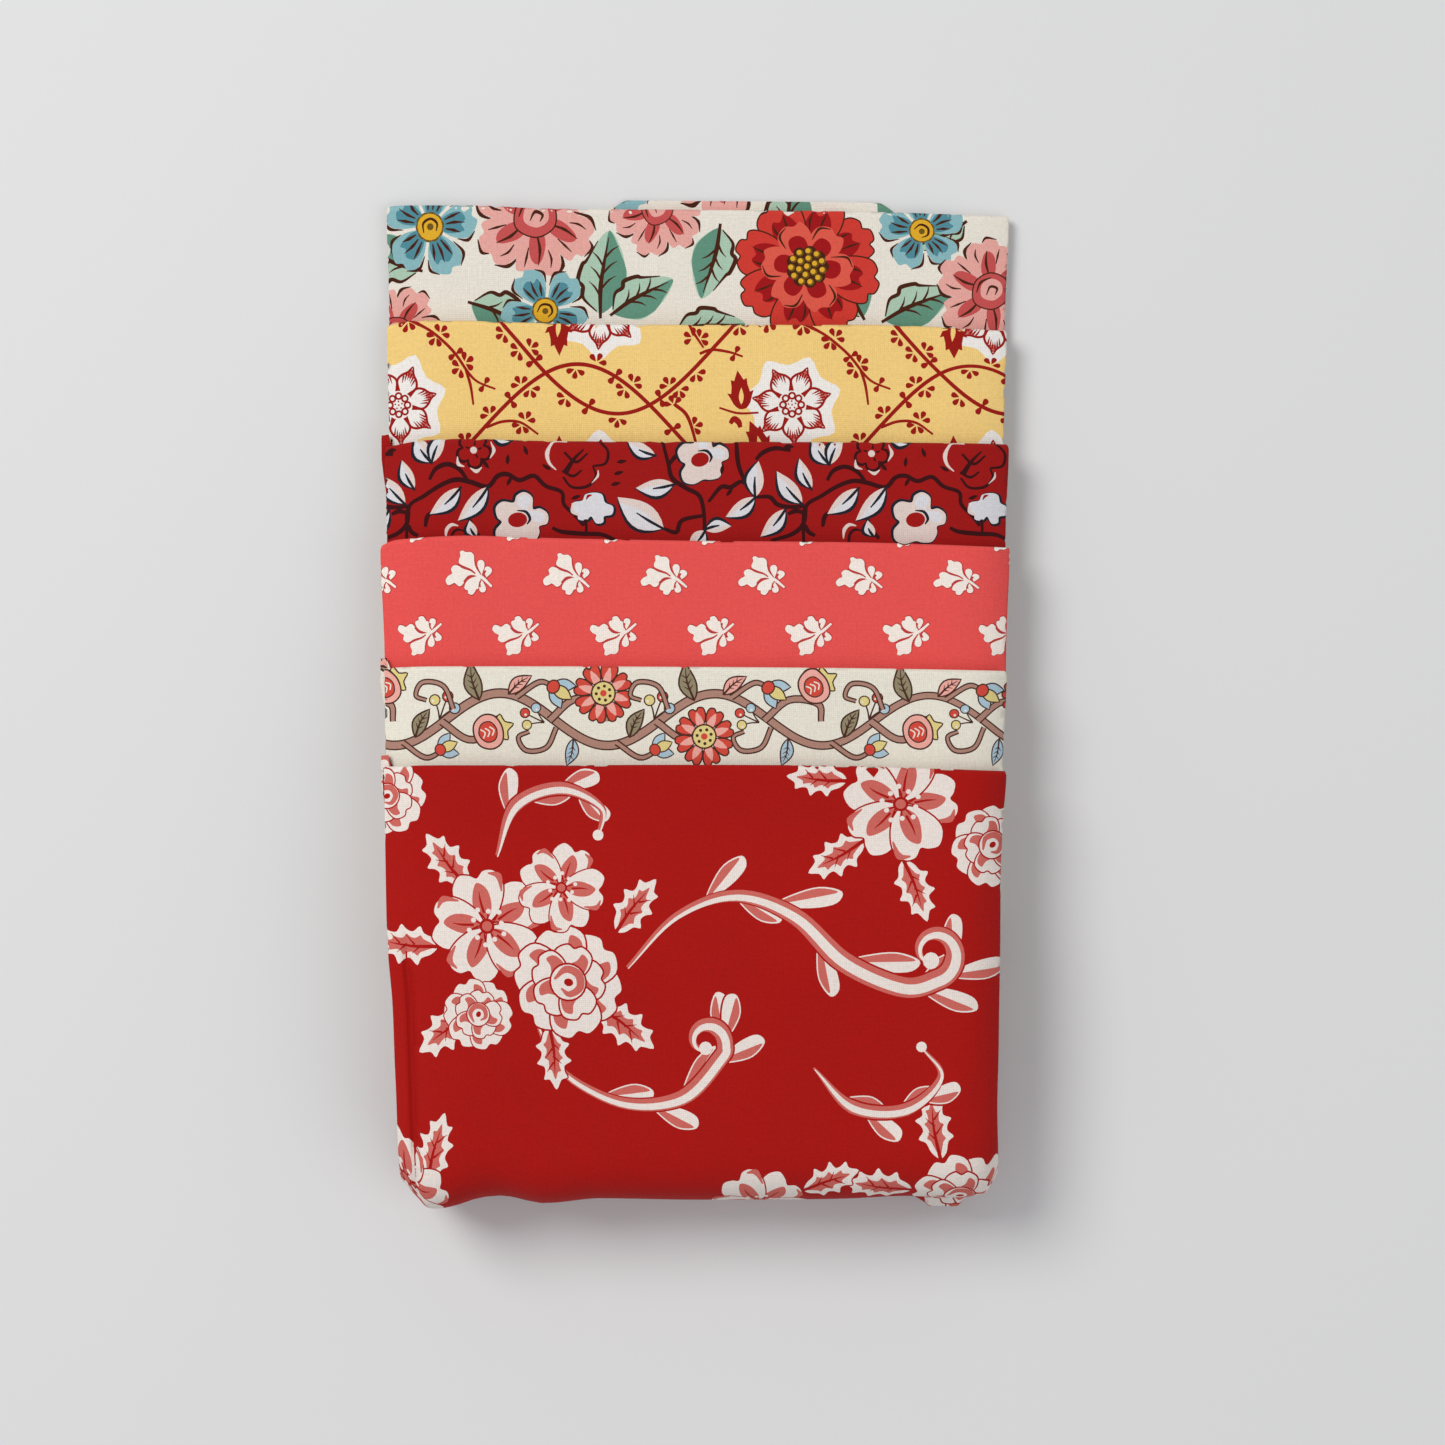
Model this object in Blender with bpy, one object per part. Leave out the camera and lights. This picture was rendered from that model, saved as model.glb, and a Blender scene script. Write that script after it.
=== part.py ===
"""Fat quarter bundle: six folded pieces of quilting cotton, laid in a cascade.

Each piece is a flat cut folded in four across its width, into a strip, and in three
along its length, into a pack. A pack is one back-and-forth section of three runs.
The upper three packs are turned under together at the bundle's lower end.
"""
import math
from collections import namedtuple

import bmesh
import bpy
import numpy as np

# Every length below is in millimetres. +X is right, +Y is up the cascade, +Z is up.
MM = 0.001

# One pack: three runs of the strip, a little apart
RUN_T = 1.0
RUN_GAP = 0.25
PACK_GAP = 0.4
PACK_T = 3 * RUN_T + 2 * RUN_GAP
PITCH = PACK_T + PACK_GAP
RUN_MIDDLES = (PACK_T - RUN_T / 2, PACK_T / 2, RUN_T / 2)
FOLD_R = (RUN_T + RUN_GAP) / 2
FOLD_OUT = FOLD_R + RUN_T / 2
FOLD_STEPS = 4

# The turn at the lower end, around the third pack from the bottom
TURN_Y = -86.15
TURN_Z = 3 * PITCH + PACK_T / 2
TURN_STEPS = 10

# All packs above the bottom one climb one pitch here, onto the turned-under ends
RAMP_FROM = -22.0
RAMP_TO = -54.0

# Lines across the bundle that every pack shares, so that neighbours stay parallel
LINES = (88.0, 74.0, 60.0, 46.0, 32.0, 18.0, 4.0, -10.0, -22.0, -30.0, -38.0, -46.0, -54.0, -70.0)
LEAST_STEP = 3.0

# Lengthwise lines that every pack shares: how far its height falls off towards the sides,
# as a share of SIDE_FALL, and how far the turned end draws back from TURN_Y
Section = namedtuple("Section", "x droop drawn_back")
SECTIONS = (
    Section(-66.0, 1.45, 8.0),
    Section(-60.5, 0.62, 3.4),
    Section(-56.0, 0.24, -0.6),
    Section(-49.0, 0.04, -2.8),
    Section(-38.0, 0.0, -0.2),
    Section(-8.0, 0.0, -0.3),
    Section(24.0, 0.0, 0.0),
    Section(50.0, 0.02, 0.4),
    Section(57.0, 0.18, 2.0),
    Section(60.5, 0.55, 4.4),
    Section(66.0, 1.5, 9.0),
)
SIDE_FALL = 0.16
DRAW_FROM = -62.0
DRAW_FULL = -84.0

# The bundle narrows towards its lower end
Taper = namedtuple("Taper", "y left_in right_in")
TAPERS = (
    Taper(-100.0, 3.7, 1.6),
    Taper(-85.0, 3.3, 2.1),
    Taper(-74.0, 2.9, 1.9),
    Taper(-59.0, 2.4, 1.7),
    Taper(-49.0, 1.5, 1.5),
    Taper(-31.0, 0.5, 1.1),
    Taper(-13.0, 0.0, 0.0),
)
HALF_WIDTH = 63.0

# Slow waves of the surface, as a share of the height there
WAVE = 0.012
WAVE_LENGTH_X = 58.0
WAVE_LENGTH_Y = 71.0

# The top edge of each pack is measured at these places across it
EDGE_X = (-62.0, -53.0, -4.0, 34.0, 62.0)
SKEW_FULL = 3.0
SKEW_GONE = 12.0
TUCK_FROM = 5.0
TUCK_FULL = 11.0

# One row a pack, from the bottom of the bundle to its top. top_edge is Y at EDGE_X, end is
# where the lower end lies, turn is the pack's place in the turn at the lower end (0 for
# none), run_left and run_right are how far each run's side edge stands out, and peek is
# how far the hidden end of the lowest run shows past the top fold, and between which X.
Pack = namedtuple("Pack", "name top_edge end turn left right run_left run_right tuck peek colour")
PACKS = (
    Pack(
        "cream_floral_quarter", (101.9, 101.3, 100.7, 100.3, 99.7), -45.0, 0, -62.9, 63.4,
        (0.0, 0.5, 0.2), (0.0, -0.6, 0.2), 1.1, (1.7, -20.0, 43.0), (0.74, 0.66, 0.58),
    ),
    Pack(
        "yellow_vine_quarter", (77.0, 78.0, 77.2, 77.2, 76.0), -66.0, 0, -63.1, 62.8,
        (0.0, 0.4, -0.2), (0.0, -0.3, -0.8), 0.6, (0.0, 0.0, 0.0), (0.88, 0.66, 0.30),
    ),
    Pack(
        "dark_red_leaf_quarter", (52.3, 53.3, 52.9, 52.6, 52.2), -85.0, 0, -63.0, 62.2,
        (0.0, 0.3, -0.6), (0.0, -0.5, 0.1), 0.9, (1.9, -64.0, -58.0), (0.36, 0.03, 0.035),
    ),
    Pack(
        "coral_sprig_quarter", (32.8, 33.8, 32.6, 32.2, 31.3), -67.4, 1, -63.5, 62.4,
        (0.0, 0.6, 0.3), (0.0, 0.2, -0.6), 1.2, (0.0, 0.0, 0.0), (0.78, 0.10, 0.10),
    ),
    Pack(
        "ivory_folk_quarter", (7.4, 7.6, 7.5, 7.2, 6.7), -54.2, 2, -62.7, 61.5,
        (0.0, -0.3, 0.5), (0.0, -0.4, -0.2), 0.7, (1.4, -64.0, -58.0), (0.76, 0.60, 0.52),
    ),
    Pack(
        "red_rose_quarter", (-12.8, -12.5, -12.4, -12.7, -13.7), -46.3, 3, -62.5, 61.8,
        (0.0, -0.4, 0.2), (0.0, -0.3, -0.7), 0.0, (1.9, -64.0, -58.0), (0.42, 0.03, 0.035),
    ),
)
ROUGHNESS = 0.9

# A place on a pack's inner face, and the direction across its thickness there
Node = namedtuple("Node", "y z across_y across_z")


def clear_scene():
    for obj in list(bpy.data.objects):
        bpy.data.objects.remove(obj, do_unlink=True)


def smooth(t):
    t = min(max(t, 0.0), 1.0)
    return t * t * (3.0 - 2.0 * t)


def climb(y):
    return smooth((y - RAMP_FROM) / (RAMP_TO - RAMP_FROM))


def column(rows, name):
    return [getattr(row, name) for row in rows]


def section_value(name, x):
    return float(np.interp(x, column(SECTIONS, "x"), column(SECTIONS, name)))


def taper_value(name, y):
    return float(np.interp(y, column(TAPERS, "y"), column(TAPERS, name)))


def top_run(pack, level):
    """Nodes from the pack's top fold down the cascade, as far as it lies face up."""
    lowest = pack.end + FOLD_OUT if pack.turn == 0 else TURN_Y
    highest = pack.top_edge[2] - FOLD_OUT
    between = [y for y in LINES if lowest + LEAST_STEP < y < highest - LEAST_STEP]
    rise = 0 if level == 0 else 1
    return [Node(y, PITCH * (level + rise * climb(y)), 0.0, 1.0) for y in (highest, *between, lowest)]


def turned_run(pack):
    """Nodes around the turn and back along the underside."""
    inner = pack.turn * PITCH - PACK_T / 2
    nodes = []
    for step in range(1, TURN_STEPS + 1):
        angle = math.pi * step / TURN_STEPS
        across = (-math.sin(angle), math.cos(angle))
        nodes.append(Node(TURN_Y + inner * across[0], TURN_Z + inner * across[1], *across))
    last = pack.end - FOLD_OUT
    between = [y for y in reversed(LINES) if TURN_Y + LEAST_STEP < y < last - LEAST_STEP]
    for y in (*between, last):
        nodes.append(Node(y, TURN_Z - inner, 0.0, -1.0))
    return nodes


def on_run(nodes, height):
    return [(node.y + height * node.across_y, node.z + height * node.across_z) for node in nodes]


def around_fold(end, before, height, radius):
    """Points around a fold between two runs, past the end node, from the upper run down."""
    out = np.array([end.y - before.y, end.z - before.z])
    out = out / np.linalg.norm(out)
    across = np.array([end.across_y, end.across_z])
    centre = np.array([end.y, end.z]) + height * across
    points = []
    for step in range(1, FOLD_STEPS):
        angle = math.pi * (0.5 - step / FOLD_STEPS)
        point = centre + radius * (math.cos(angle) * out + math.sin(angle) * across)
        points.append((float(point[0]), float(point[1])))
    return points


def folded_faces(nodes):
    """The two faces of the back-and-forth sheet, as points with their run, from the end of
    the top run to the end of the lowest."""
    down = list(nodes)
    up = down[::-1]
    upper, middle, lower = RUN_MIDDLES
    half = RUN_T / 2
    faces = []
    for side in (1, -1):
        first = around_fold(down[0], down[1], (upper + middle) / 2, FOLD_R + side * half)
        second = around_fold(up[0], up[1], (middle + lower) / 2, FOLD_R - side * half)
        face = [(p, 0.0) for p in on_run(up, upper + side * half)]
        face += [(p, 0.5) for p in first]
        face += [(p, 1.0) for p in on_run(down, middle - side * half)]
        face += [(p, 1.5) for p in second]
        face += [(p, 2.0) for p in on_run(up, lower + side * half)]
        faces.append(face)
    return faces


def side_edge(pack, next_top, is_left, run, y):
    """X of a pack's side edge on a run. It is drawn in a little where the next pack covers it."""
    offsets = pack.run_left if is_left else pack.run_right
    edge = pack.left if is_left else pack.right
    hidden = smooth((next_top - TUCK_FROM - y) / (TUCK_FULL - TUCK_FROM))
    inward = 1.0 if is_left else -1.0
    return edge + float(np.interp(run, (0.0, 1.0, 2.0), offsets)) + inward * pack.tuck * hidden


def peek_at(pack, x):
    out, low, high = pack.peek
    return FOLD_OUT + out if out and low < x < high else 0.0


def settle(pack, x, y, z):
    """A point of the straight bundle, moved to where the uneven one has it, in metres."""
    skew = float(np.interp(x, EDGE_X, pack.top_edge)) - pack.top_edge[2]
    below_top = pack.top_edge[2] - y
    y_new = y + skew * (1.0 - smooth((below_top - SKEW_FULL) / (SKEW_GONE - SKEW_FULL)))
    y_new += section_value("drawn_back", x) * smooth((y - DRAW_FROM) / (DRAW_FULL - DRAW_FROM))
    from_left = min(max(-x / HALF_WIDTH, 0.0), 1.0)
    from_right = min(max(x / HALF_WIDTH, 0.0), 1.0)
    x_new = x + taper_value("left_in", y) * from_left - taper_value("right_in", y) * from_right
    wave = math.sin(2 * math.pi * x / WAVE_LENGTH_X) * math.cos(2 * math.pi * y / WAVE_LENGTH_Y)
    z_new = z * (1.0 - SIDE_FALL * section_value("droop", x) + WAVE * wave)
    return (x_new * MM, y_new * MM, z_new * MM)


def pack_mesh(pack, level, next_top):
    nodes = top_run(pack, level)
    if pack.turn:
        nodes += turned_run(pack)
    front, back = folded_faces(nodes)
    ring = front + back[::-1]
    last_of_lowest = (len(front) - 1, len(front))
    mesh = bmesh.new()
    stations = []
    inner_lines = [section.x for section in SECTIONS[1:-1]]
    for line, x_line in enumerate([None, *inner_lines, None]):
        points = []
        for index, ((y, z), run) in enumerate(ring):
            x = x_line
            if x is None:
                x = side_edge(pack, next_top, line == 0, run, y)
            shown = peek_at(pack, x) if index in last_of_lowest else 0.0
            points.append(mesh.verts.new(settle(pack, x, y + shown, z)))
        stations.append(points)
    count = len(ring)
    for left, right in zip(stations, stations[1:]):
        for i in range(count):
            j = (i + 1) % count
            mesh.faces.new((left[i], left[j], right[j], right[i]))
    for points in (stations[0], stations[-1]):
        for i in range(len(front) - 1):
            far = count - 1 - i
            mesh.faces.new((points[i], points[i + 1], points[far - 1], points[far]))
    bmesh.ops.recalc_face_normals(mesh, faces=mesh.faces)
    bmesh.ops.triangulate(mesh, faces=mesh.faces, quad_method="FIXED")
    return mesh


def cloth_material(name, colour):
    material = bpy.data.materials.new(name)
    material.use_nodes = True
    shader = material.node_tree.nodes["Principled BSDF"]
    shader.inputs["Base Color"].default_value = (*colour, 1.0)
    shader.inputs["Roughness"].default_value = ROUGHNESS
    shader.inputs["Metallic"].default_value = 0.0
    material.diffuse_color = (*colour, 1.0)
    return material


def make_pack(pack, level, next_top):
    mesh = pack_mesh(pack, level, next_top)
    data = bpy.data.meshes.new(pack.name)
    mesh.to_mesh(data)
    mesh.free()
    data.materials.append(cloth_material(pack.name + "_cotton", pack.colour))
    obj = bpy.data.objects.new(pack.name, data)
    bpy.context.scene.collection.objects.link(obj)
    return obj


def main():
    clear_scene()
    for level, pack in enumerate(PACKS):
        above = PACKS[level + 1:level + 2]
        next_top = above[0].top_edge[2] if above else -math.inf
        make_pack(pack, level, next_top)


main()
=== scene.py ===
import math
from collections import namedtuple

import bpy
import numpy as np
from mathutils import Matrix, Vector
from mathutils.geometry import delaunay_2d_cdt


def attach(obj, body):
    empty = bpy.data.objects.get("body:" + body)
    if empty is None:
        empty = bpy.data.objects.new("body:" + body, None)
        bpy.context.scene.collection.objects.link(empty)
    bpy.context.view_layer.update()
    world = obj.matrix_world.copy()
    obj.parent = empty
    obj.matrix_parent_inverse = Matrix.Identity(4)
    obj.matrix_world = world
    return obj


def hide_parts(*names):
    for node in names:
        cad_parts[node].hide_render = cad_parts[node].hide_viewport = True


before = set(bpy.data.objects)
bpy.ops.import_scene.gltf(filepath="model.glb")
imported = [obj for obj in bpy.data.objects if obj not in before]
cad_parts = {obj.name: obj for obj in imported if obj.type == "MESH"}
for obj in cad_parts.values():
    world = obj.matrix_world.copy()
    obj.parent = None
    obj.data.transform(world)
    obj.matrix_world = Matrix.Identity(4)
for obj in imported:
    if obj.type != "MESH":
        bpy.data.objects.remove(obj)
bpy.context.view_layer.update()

# Cloth and its folds, in millimetres, as the solids have them
MM = 0.001
RUN_T = 1.0
RUN_GAP = 0.25
PACK_GAP = 0.4
PACK_T = 3 * RUN_T + 2 * RUN_GAP
PITCH = PACK_T + PACK_GAP
RUN_MIDDLES = (PACK_T - RUN_T / 2, PACK_T / 2, RUN_T / 2)
FOLD_R = (RUN_T + RUN_GAP) / 2
FOLD_OUT = FOLD_R + RUN_T / 2
LAYER = 0.25
TURN_Y = -86.15
TURN_Z = 3 * PITCH + PACK_T / 2
TURN_POWER = 2.8
TURN_ANGLES = np.linspace(0.0, math.pi, 721)
TURN_OUT = np.abs(np.sin(TURN_ANGLES)) ** (2 / TURN_POWER)
TURN_UP = np.sign(np.cos(TURN_ANGLES)) * np.abs(np.cos(TURN_ANGLES)) ** (2 / TURN_POWER)
TURN_ALONG = np.concatenate([[0.0], np.cumsum(np.hypot(np.diff(TURN_OUT), np.diff(TURN_UP)))])
TURN_LENGTH = TURN_ALONG[-1]
RAMP_FROM = -22.0
RAMP_TO = -54.0

# Across the bundle: how far the turned end draws back from TURN_Y
DRAWN_X = (-66.0, -62.9, -60.2, -57.4, -55.4, -51.4, -46.1, -41.4, -32.0, -20.5, 0.0, 30.0, 43.5, 50.0,
           57.2, 59.9, 62.1, 66.0)
DRAWN_BACK = (7.4, 4.3, 1.4, -1.4, -1.9, -1.3, 0.3, 0.8, -0.7, 0.3, 0.0, 0.2, 0.8, 0.5, 0.7, 1.6, 4.7, 9.0)
DRAW_FROM = -62.0
DRAW_FULL = -84.0
SIDE_FALL = 0.16
FALL_LEFT = (-44.0, -63.0, 3.0)
FALL_RIGHT = (46.0, 62.0, 4.0)

# A small flap that peeks from under the turned end, and a crease beside the top pack's left side
FLAP = (51.0, 5.2, 2.3)
CREASE = (-58.6, 0.8, 1.25)
CREASE_FROM = -40.0

# Along the bundle: how far its sides come in towards the lower end
TAPER_Y = (-100.0, -85.0, -74.0, -59.0, -49.0, -31.0, -13.0)
LEFT_IN = (3.3, 2.9, 2.5, 2.0, 1.1, 0.4, 0.0)
RIGHT_IN = (1.6, 2.1, 1.9, 1.7, 1.5, 1.1, 0.0)
HALF_WIDTH = 63.0
HEIGHT = 27.0
WAVE = 0.012
WAVE_LENGTH_X = 58.0
WAVE_LENGTH_Y = 71.0
# Where across the bundle the top edges' heights are given. A pack's length goes by the sixth.
EDGE_X = (-63.6, -61.5, -57.0, -46.0, -33.0, -4.0, 34.0, 62.0)
TOP_AT = 5
NO_PACK_ABOVE = -999.0

# How far below its top edge a pack keeps that edge's slope, and where the slope is gone
SKEW_FULL = 3.0
SKEW_GONE = 12.0

# Under the next pack's edge the sides draw in, between these two depths
TUCK_FROM = 5.0
TUCK_FULL = 11.0

# The runs' own shifts reach this far in from the sides, and at the left they fade below the top
SHIFT_REACH = 20.0
SHIFT_KEPT = 4.0
SHIFT_FADE = 5.0
RUNS = (0.0, 1.0, 2.0)
PEEK_LENGTH = 6.0

# How softly the flap ends across, up the turned end and along it, and the crease along its length
FLAP_SOFT = 2.4
FLAP_TOP = 3.0
FLAP_FALL = 4.0
FLAP_REACH = 8.0
CREASE_REACH = 12.0
FALL_MOST = 1.3

# How far in from the pack's sides the first cut edge, the inner fold and the last cut edge lie
CUT_IN = 0.5
INNER_FOLD_IN = 0.75
LAST_CUT_IN = 0.9

# The spacing of the mesh's lines
NEAR_FOLD = (0.0, 0.5, 1.2, 2.2, 3.6, 5.4, 7.6, 10.2, 13.4, 17.2)
NEAR_TOP = [0.6, 1.6, 3.0]
RUN_LINES = 16
WIDE_FOLD_LINES = 7
NARROW_FOLD_LINES = 5
BEND_LINES = 9
ROW_STEP = 5.0
LAST_ROW = 2.0
TURN_STEP = 0.9
SHOWN_STEP_U = 3.0
SHOWN_STEP_V = 2.5
LEAST_STEP = 0.03
LEAST_SHOWN_STEP = 0.05
NORMAL_STEP = 0.02
TINY = 1e-12

# One row a pack, from the bottom of the bundle to its top. top_edge is Y at EDGE_X, end is the
# lower end, turn is its place in the turned end, narrow is how far its sides come in below its
# top, run_left and run_right move the sides of its three runs, tuck is how far its sides draw in
# where it is hidden, and peek is how far its lowest run shows, from where to where and with how
# soft an edge. under is how far the print on that run has moved on from the print on top.
Pack = namedtuple(
    "Pack", "node name top_edge end turn left right narrow run_left run_right tuck peek under",
    defaults=((0.0, 0.0, 0.0, 1.0), (0.0, 0.0)),
)
PACKS = (
    Pack("cream_floral_quarter", "cream_floral_cloth",
         (102.1, 102.3, 102.4, 102.4, 101.8, 101.5, 101.1, 100.2), -45.0, 0, -63.45, 63.9,
         (0.5, 0.8), (0.0, 0.5, 0.2), (0.0, -0.6, 0.2), 1.1, (1.9, -20.0, 43.0, 6.0), (38.0, 10.0)),
    Pack("yellow_vine_quarter", "yellow_vine_cloth",
         (77.1, 77.8, 78.4, 78.3, 77.9, 77.5, 77.5, 76.4), -66.0, 0, -63.1, 63.2,
         (0.4, 0.6), (0.0, 0.4, -0.2), (0.0, -0.3, -0.8), 0.6),
    Pack("dark_red_leaf_quarter", "dark_red_leaf_cloth",
         (52.3, 52.7, 53.5, 54.0, 53.6, 53.4, 53.3, 53.0), -85.0, 0, -63.2, 63.4,
         (0.3, 0.7), (0.0, 0.3, -0.95), (0.0, -0.5, 0.0), 0.9, (2.5, -68.0, -61.9, 0.8), (0.0, 4.0)),
    Pack("coral_sprig_quarter", "coral_sprig_cloth",
         (32.3, 33.2, 33.7, 34.2, 33.8, 33.2, 32.8, 31.9), -67.4, 1, -63.85, 63.2,
         (0.9, 0.8), (0.0, 0.6, 0.3), (0.0, 0.2, -0.6), 1.2),
    Pack("ivory_folk_quarter", "ivory_folk_cloth",
         (7.3, 7.5, 7.7, 7.8, 7.8, 7.7, 7.4, 6.9), -54.2, 2, -62.7, 62.45,
         (0.2, 0.8), (0.0, -0.3, -1.1), (0.0, -0.4, -0.2), 0.7, (2.0, -68.0, -61.9, 0.6), (0.0, 5.0)),
    Pack("red_rose_quarter", "red_rose_cloth",
         (-12.5, -12.3, -12.1, -12.0, -12.0, -11.9, -12.2, -13.2), -46.3, 3, -62.5, 62.1,
         (0.0, 0.0), (0.0, -0.4, -0.8), (0.0, -0.3, -0.7), 0.0, (2.2, -68.0, -61.0, 0.8), (0.0, 3.0)),
)


def smooth(t):
    t = np.clip(t, 0.0, 1.0)
    return t * t * (3.0 - 2.0 * t)


def curve_through(x, xs, ys):
    """A smooth curve through a table's points, with no overshoot at its turning points."""
    order = np.argsort(xs)
    xs = np.asarray(xs, float)[order]
    ys = np.asarray(ys, float)[order]
    rise = np.diff(ys) / np.diff(xs)
    slope = np.zeros(len(xs))
    slope[1:-1] = np.where(rise[1:] * rise[:-1] > 0, (rise[1:] + rise[:-1]) / 2, 0.0)
    slope[0] = rise[0]
    slope[-1] = rise[-1]
    x = np.clip(x, xs[0], xs[-1])
    i = np.clip(np.searchsorted(xs, x) - 1, 0, len(xs) - 2)
    width = xs[i + 1] - xs[i]
    t = (x - xs[i]) / width
    return (
        ys[i] * (1 + 2 * t) * (1 - t) ** 2
        + slope[i] * width * t * (1 - t) ** 2
        + ys[i + 1] * t * t * (3 - 2 * t)
        + slope[i + 1] * width * t * t * (t - 1)
    )


def side_fall(x):
    """How far the height falls off towards the sides, as a share of itself."""
    share = np.zeros_like(x)
    for start, full, power in (FALL_LEFT, FALL_RIGHT):
        share += np.clip((x - start) / (full - start), 0.0, FALL_MOST) ** power
    return SIDE_FALL * share


def within(at, start, end, first, last):
    """Which places lie in one part of a section. Its first and last parts have no end."""
    return ((at >= start) | first) & ((at <= end) | last)


class FoldedCloth:
    """One cut of cloth, folded in four across its width and in three along its length.

    u runs across the flat cloth and v along it. The strip's layers from below are 4, 3, 2
    and 1, and the sheet goes through them in the order 4, 1, 2, 3.
    """

    def __init__(self, pack, level, next_top):
        self.pack = pack
        self.level = level
        self.next_top = next_top
        self.top = pack.top_edge[TOP_AT]
        self.start_y = self.top - FOLD_OUT
        self.to_turn = self.start_y - TURN_Y
        self.turn_r = max(pack.turn, 1) * PITCH
        if pack.turn:
            back = (pack.end - FOLD_OUT) - TURN_Y
            self.run = self.to_turn + TURN_LENGTH * self.turn_r + back
        else:
            self.run = self.start_y - (pack.end + FOLD_OUT)
        self.across_parts = self.plan_across()
        self.along_parts = self.plan_along()

    def plan_across(self):
        """The parts of the strip's section: runs and folds, each with its length."""
        outer, inner = 1.5 * LAYER, 0.5 * LAYER
        left, right = self.pack.left, self.pack.right
        turns = (
            ("run", left + CUT_IN, right - outer, -outer, -outer),
            ("fold", right - outer, 1.0, -outer, outer),
            ("run", right - outer, left + inner, outer, outer),
            ("fold", left + inner, -1.0, outer, inner),
            ("run", left + inner, right - INNER_FOLD_IN, inner, inner),
            ("fold", right - INNER_FOLD_IN, 1.0, inner, -inner),
            ("run", right - INNER_FOLD_IN, left + LAST_CUT_IN, -inner, -inner),
        )
        parts = []
        at = 0.0
        for kind, a, b, low, high in turns:
            length = abs(b - a) if kind == "run" else math.pi * abs(high - low) / 2
            parts.append((kind, at, at + length, a, b, low, high))
            at += length
        self.width = at
        return parts

    def plan_along(self):
        bend = math.pi * FOLD_R
        upper, middle, lower = RUN_MIDDLES
        parts = []
        at = 0.0
        turns = (
            ("run", self.run, self.run, 0.0, 1.0, upper, 0.0),
            ("fold", bend, 0.0, -1.0, 1.0, (upper + middle) / 2, 0.0),
            ("run", self.run, 0.0, self.run, -1.0, middle, 1.0),
            ("fold", bend, self.run, 1.0, -1.0, (middle + lower) / 2, 1.0),
            ("run", self.run, self.run, 0.0, 1.0, lower, 2.0),
        )
        for kind, length, a, b, side, middle_n, index in turns:
            parts.append((kind, at, at + length, a, b, side, middle_n, index))
            at += length
        self.length = at
        return parts

    def across(self, u):
        """X of a place u across the cloth, and its height in the strip."""
        x = np.zeros_like(u)
        h = np.zeros_like(u)
        last = len(self.across_parts) - 1
        for k, (kind, u0, u1, a, b, low, high) in enumerate(self.across_parts):
            here = within(u, u0, u1, k == 0, k == last)
            t = (u[here] - u0) / (u1 - u0)
            if kind == "run":
                x[here] = a + (b - a) * t
                h[here] = low
            else:
                radius = abs(high - low) / 2
                x[here] = a + b * radius * np.sin(math.pi * t)
                h[here] = (low + high) / 2 + (low - high) / 2 * np.cos(math.pi * t)
        return x, h

    def along(self, v, h):
        """Where a place v along the cloth lies: along the pack, above its inner face and its run."""
        s = np.zeros_like(v)
        n = np.zeros_like(v)
        run = np.zeros_like(v)
        last = len(self.along_parts) - 1
        for k, (kind, v0, v1, a, b, side, middle_n, index) in enumerate(self.along_parts):
            here = within(v, v0, v1, k == 0, k == last)
            t = (v[here] - v0) / (v1 - v0)
            if kind == "run":
                s[here] = a + (b - a) * t
                n[here] = middle_n + side * h[here]
                run[here] = index
            else:
                radius = FOLD_R + side * h[here]
                s[here] = a + b * radius * np.sin(math.pi * t)
                n[here] = middle_n + radius * np.cos(math.pi * t)
                run[here] = index + t
        return s, n, run

    def spine(self, s, n):
        """Y and Z of a place s along the pack from its top fold and n above its inner face."""
        y = self.start_y - s
        climb = smooth((y - RAMP_FROM) / (RAMP_TO - RAMP_FROM)) if self.level else 0.0
        z = PITCH * (self.level + climb) + n
        if not self.pack.turn:
            return y, z
        inner = self.pack.turn * PITCH - PACK_T / 2
        round_turn = np.clip((s - self.to_turn) / self.turn_r, 0.0, TURN_LENGTH)
        back = s - self.to_turn - TURN_LENGTH * self.turn_r
        turned = s > self.to_turn
        out = (inner + n) * np.interp(round_turn, TURN_ALONG, TURN_OUT)
        y_turned = TURN_Y - out + np.maximum(back, 0.0)
        z_turned = TURN_Z + (inner + n) * np.interp(round_turn, TURN_ALONG, TURN_UP)
        return np.where(turned, y_turned, y), np.where(turned, z_turned, z)

    def place(self, u, v):
        """Points of the folded cloth, in metres."""
        x, h = self.across(u)
        s, n, run = self.along(v, h)
        y, z = self.spine(s, n)
        pack = self.pack
        hidden = smooth((self.next_top - TUCK_FROM - y) / (TUCK_FULL - TUCK_FROM))
        down = smooth((self.top - y) / (self.top - self.next_top))
        shift = np.interp(run, RUNS, pack.run_left)
        fade = smooth((self.top - y - SHIFT_KEPT) / SHIFT_FADE)
        left = shift + pack.tuck * hidden + pack.narrow[0] * down - shift * fade
        right = np.interp(run, RUNS, pack.run_right) - pack.tuck * hidden - pack.narrow[1] * down
        x = x + left * np.clip(1 - (x - pack.left) / SHIFT_REACH, 0.0, 1.0) ** 2
        x = x + right * np.clip(1 - (pack.right - x) / SHIFT_REACH, 0.0, 1.0) ** 2
        out, low, high, soft = pack.peek
        if out:
            end_of_run = smooth((v - self.length + PEEK_LENGTH) / PEEK_LENGTH)
            inside = smooth((x - low) / soft) * smooth((high - x) / soft)
            y = y + (FOLD_OUT + out) * end_of_run * inside
        return self.settle(x, y, z)

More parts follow.
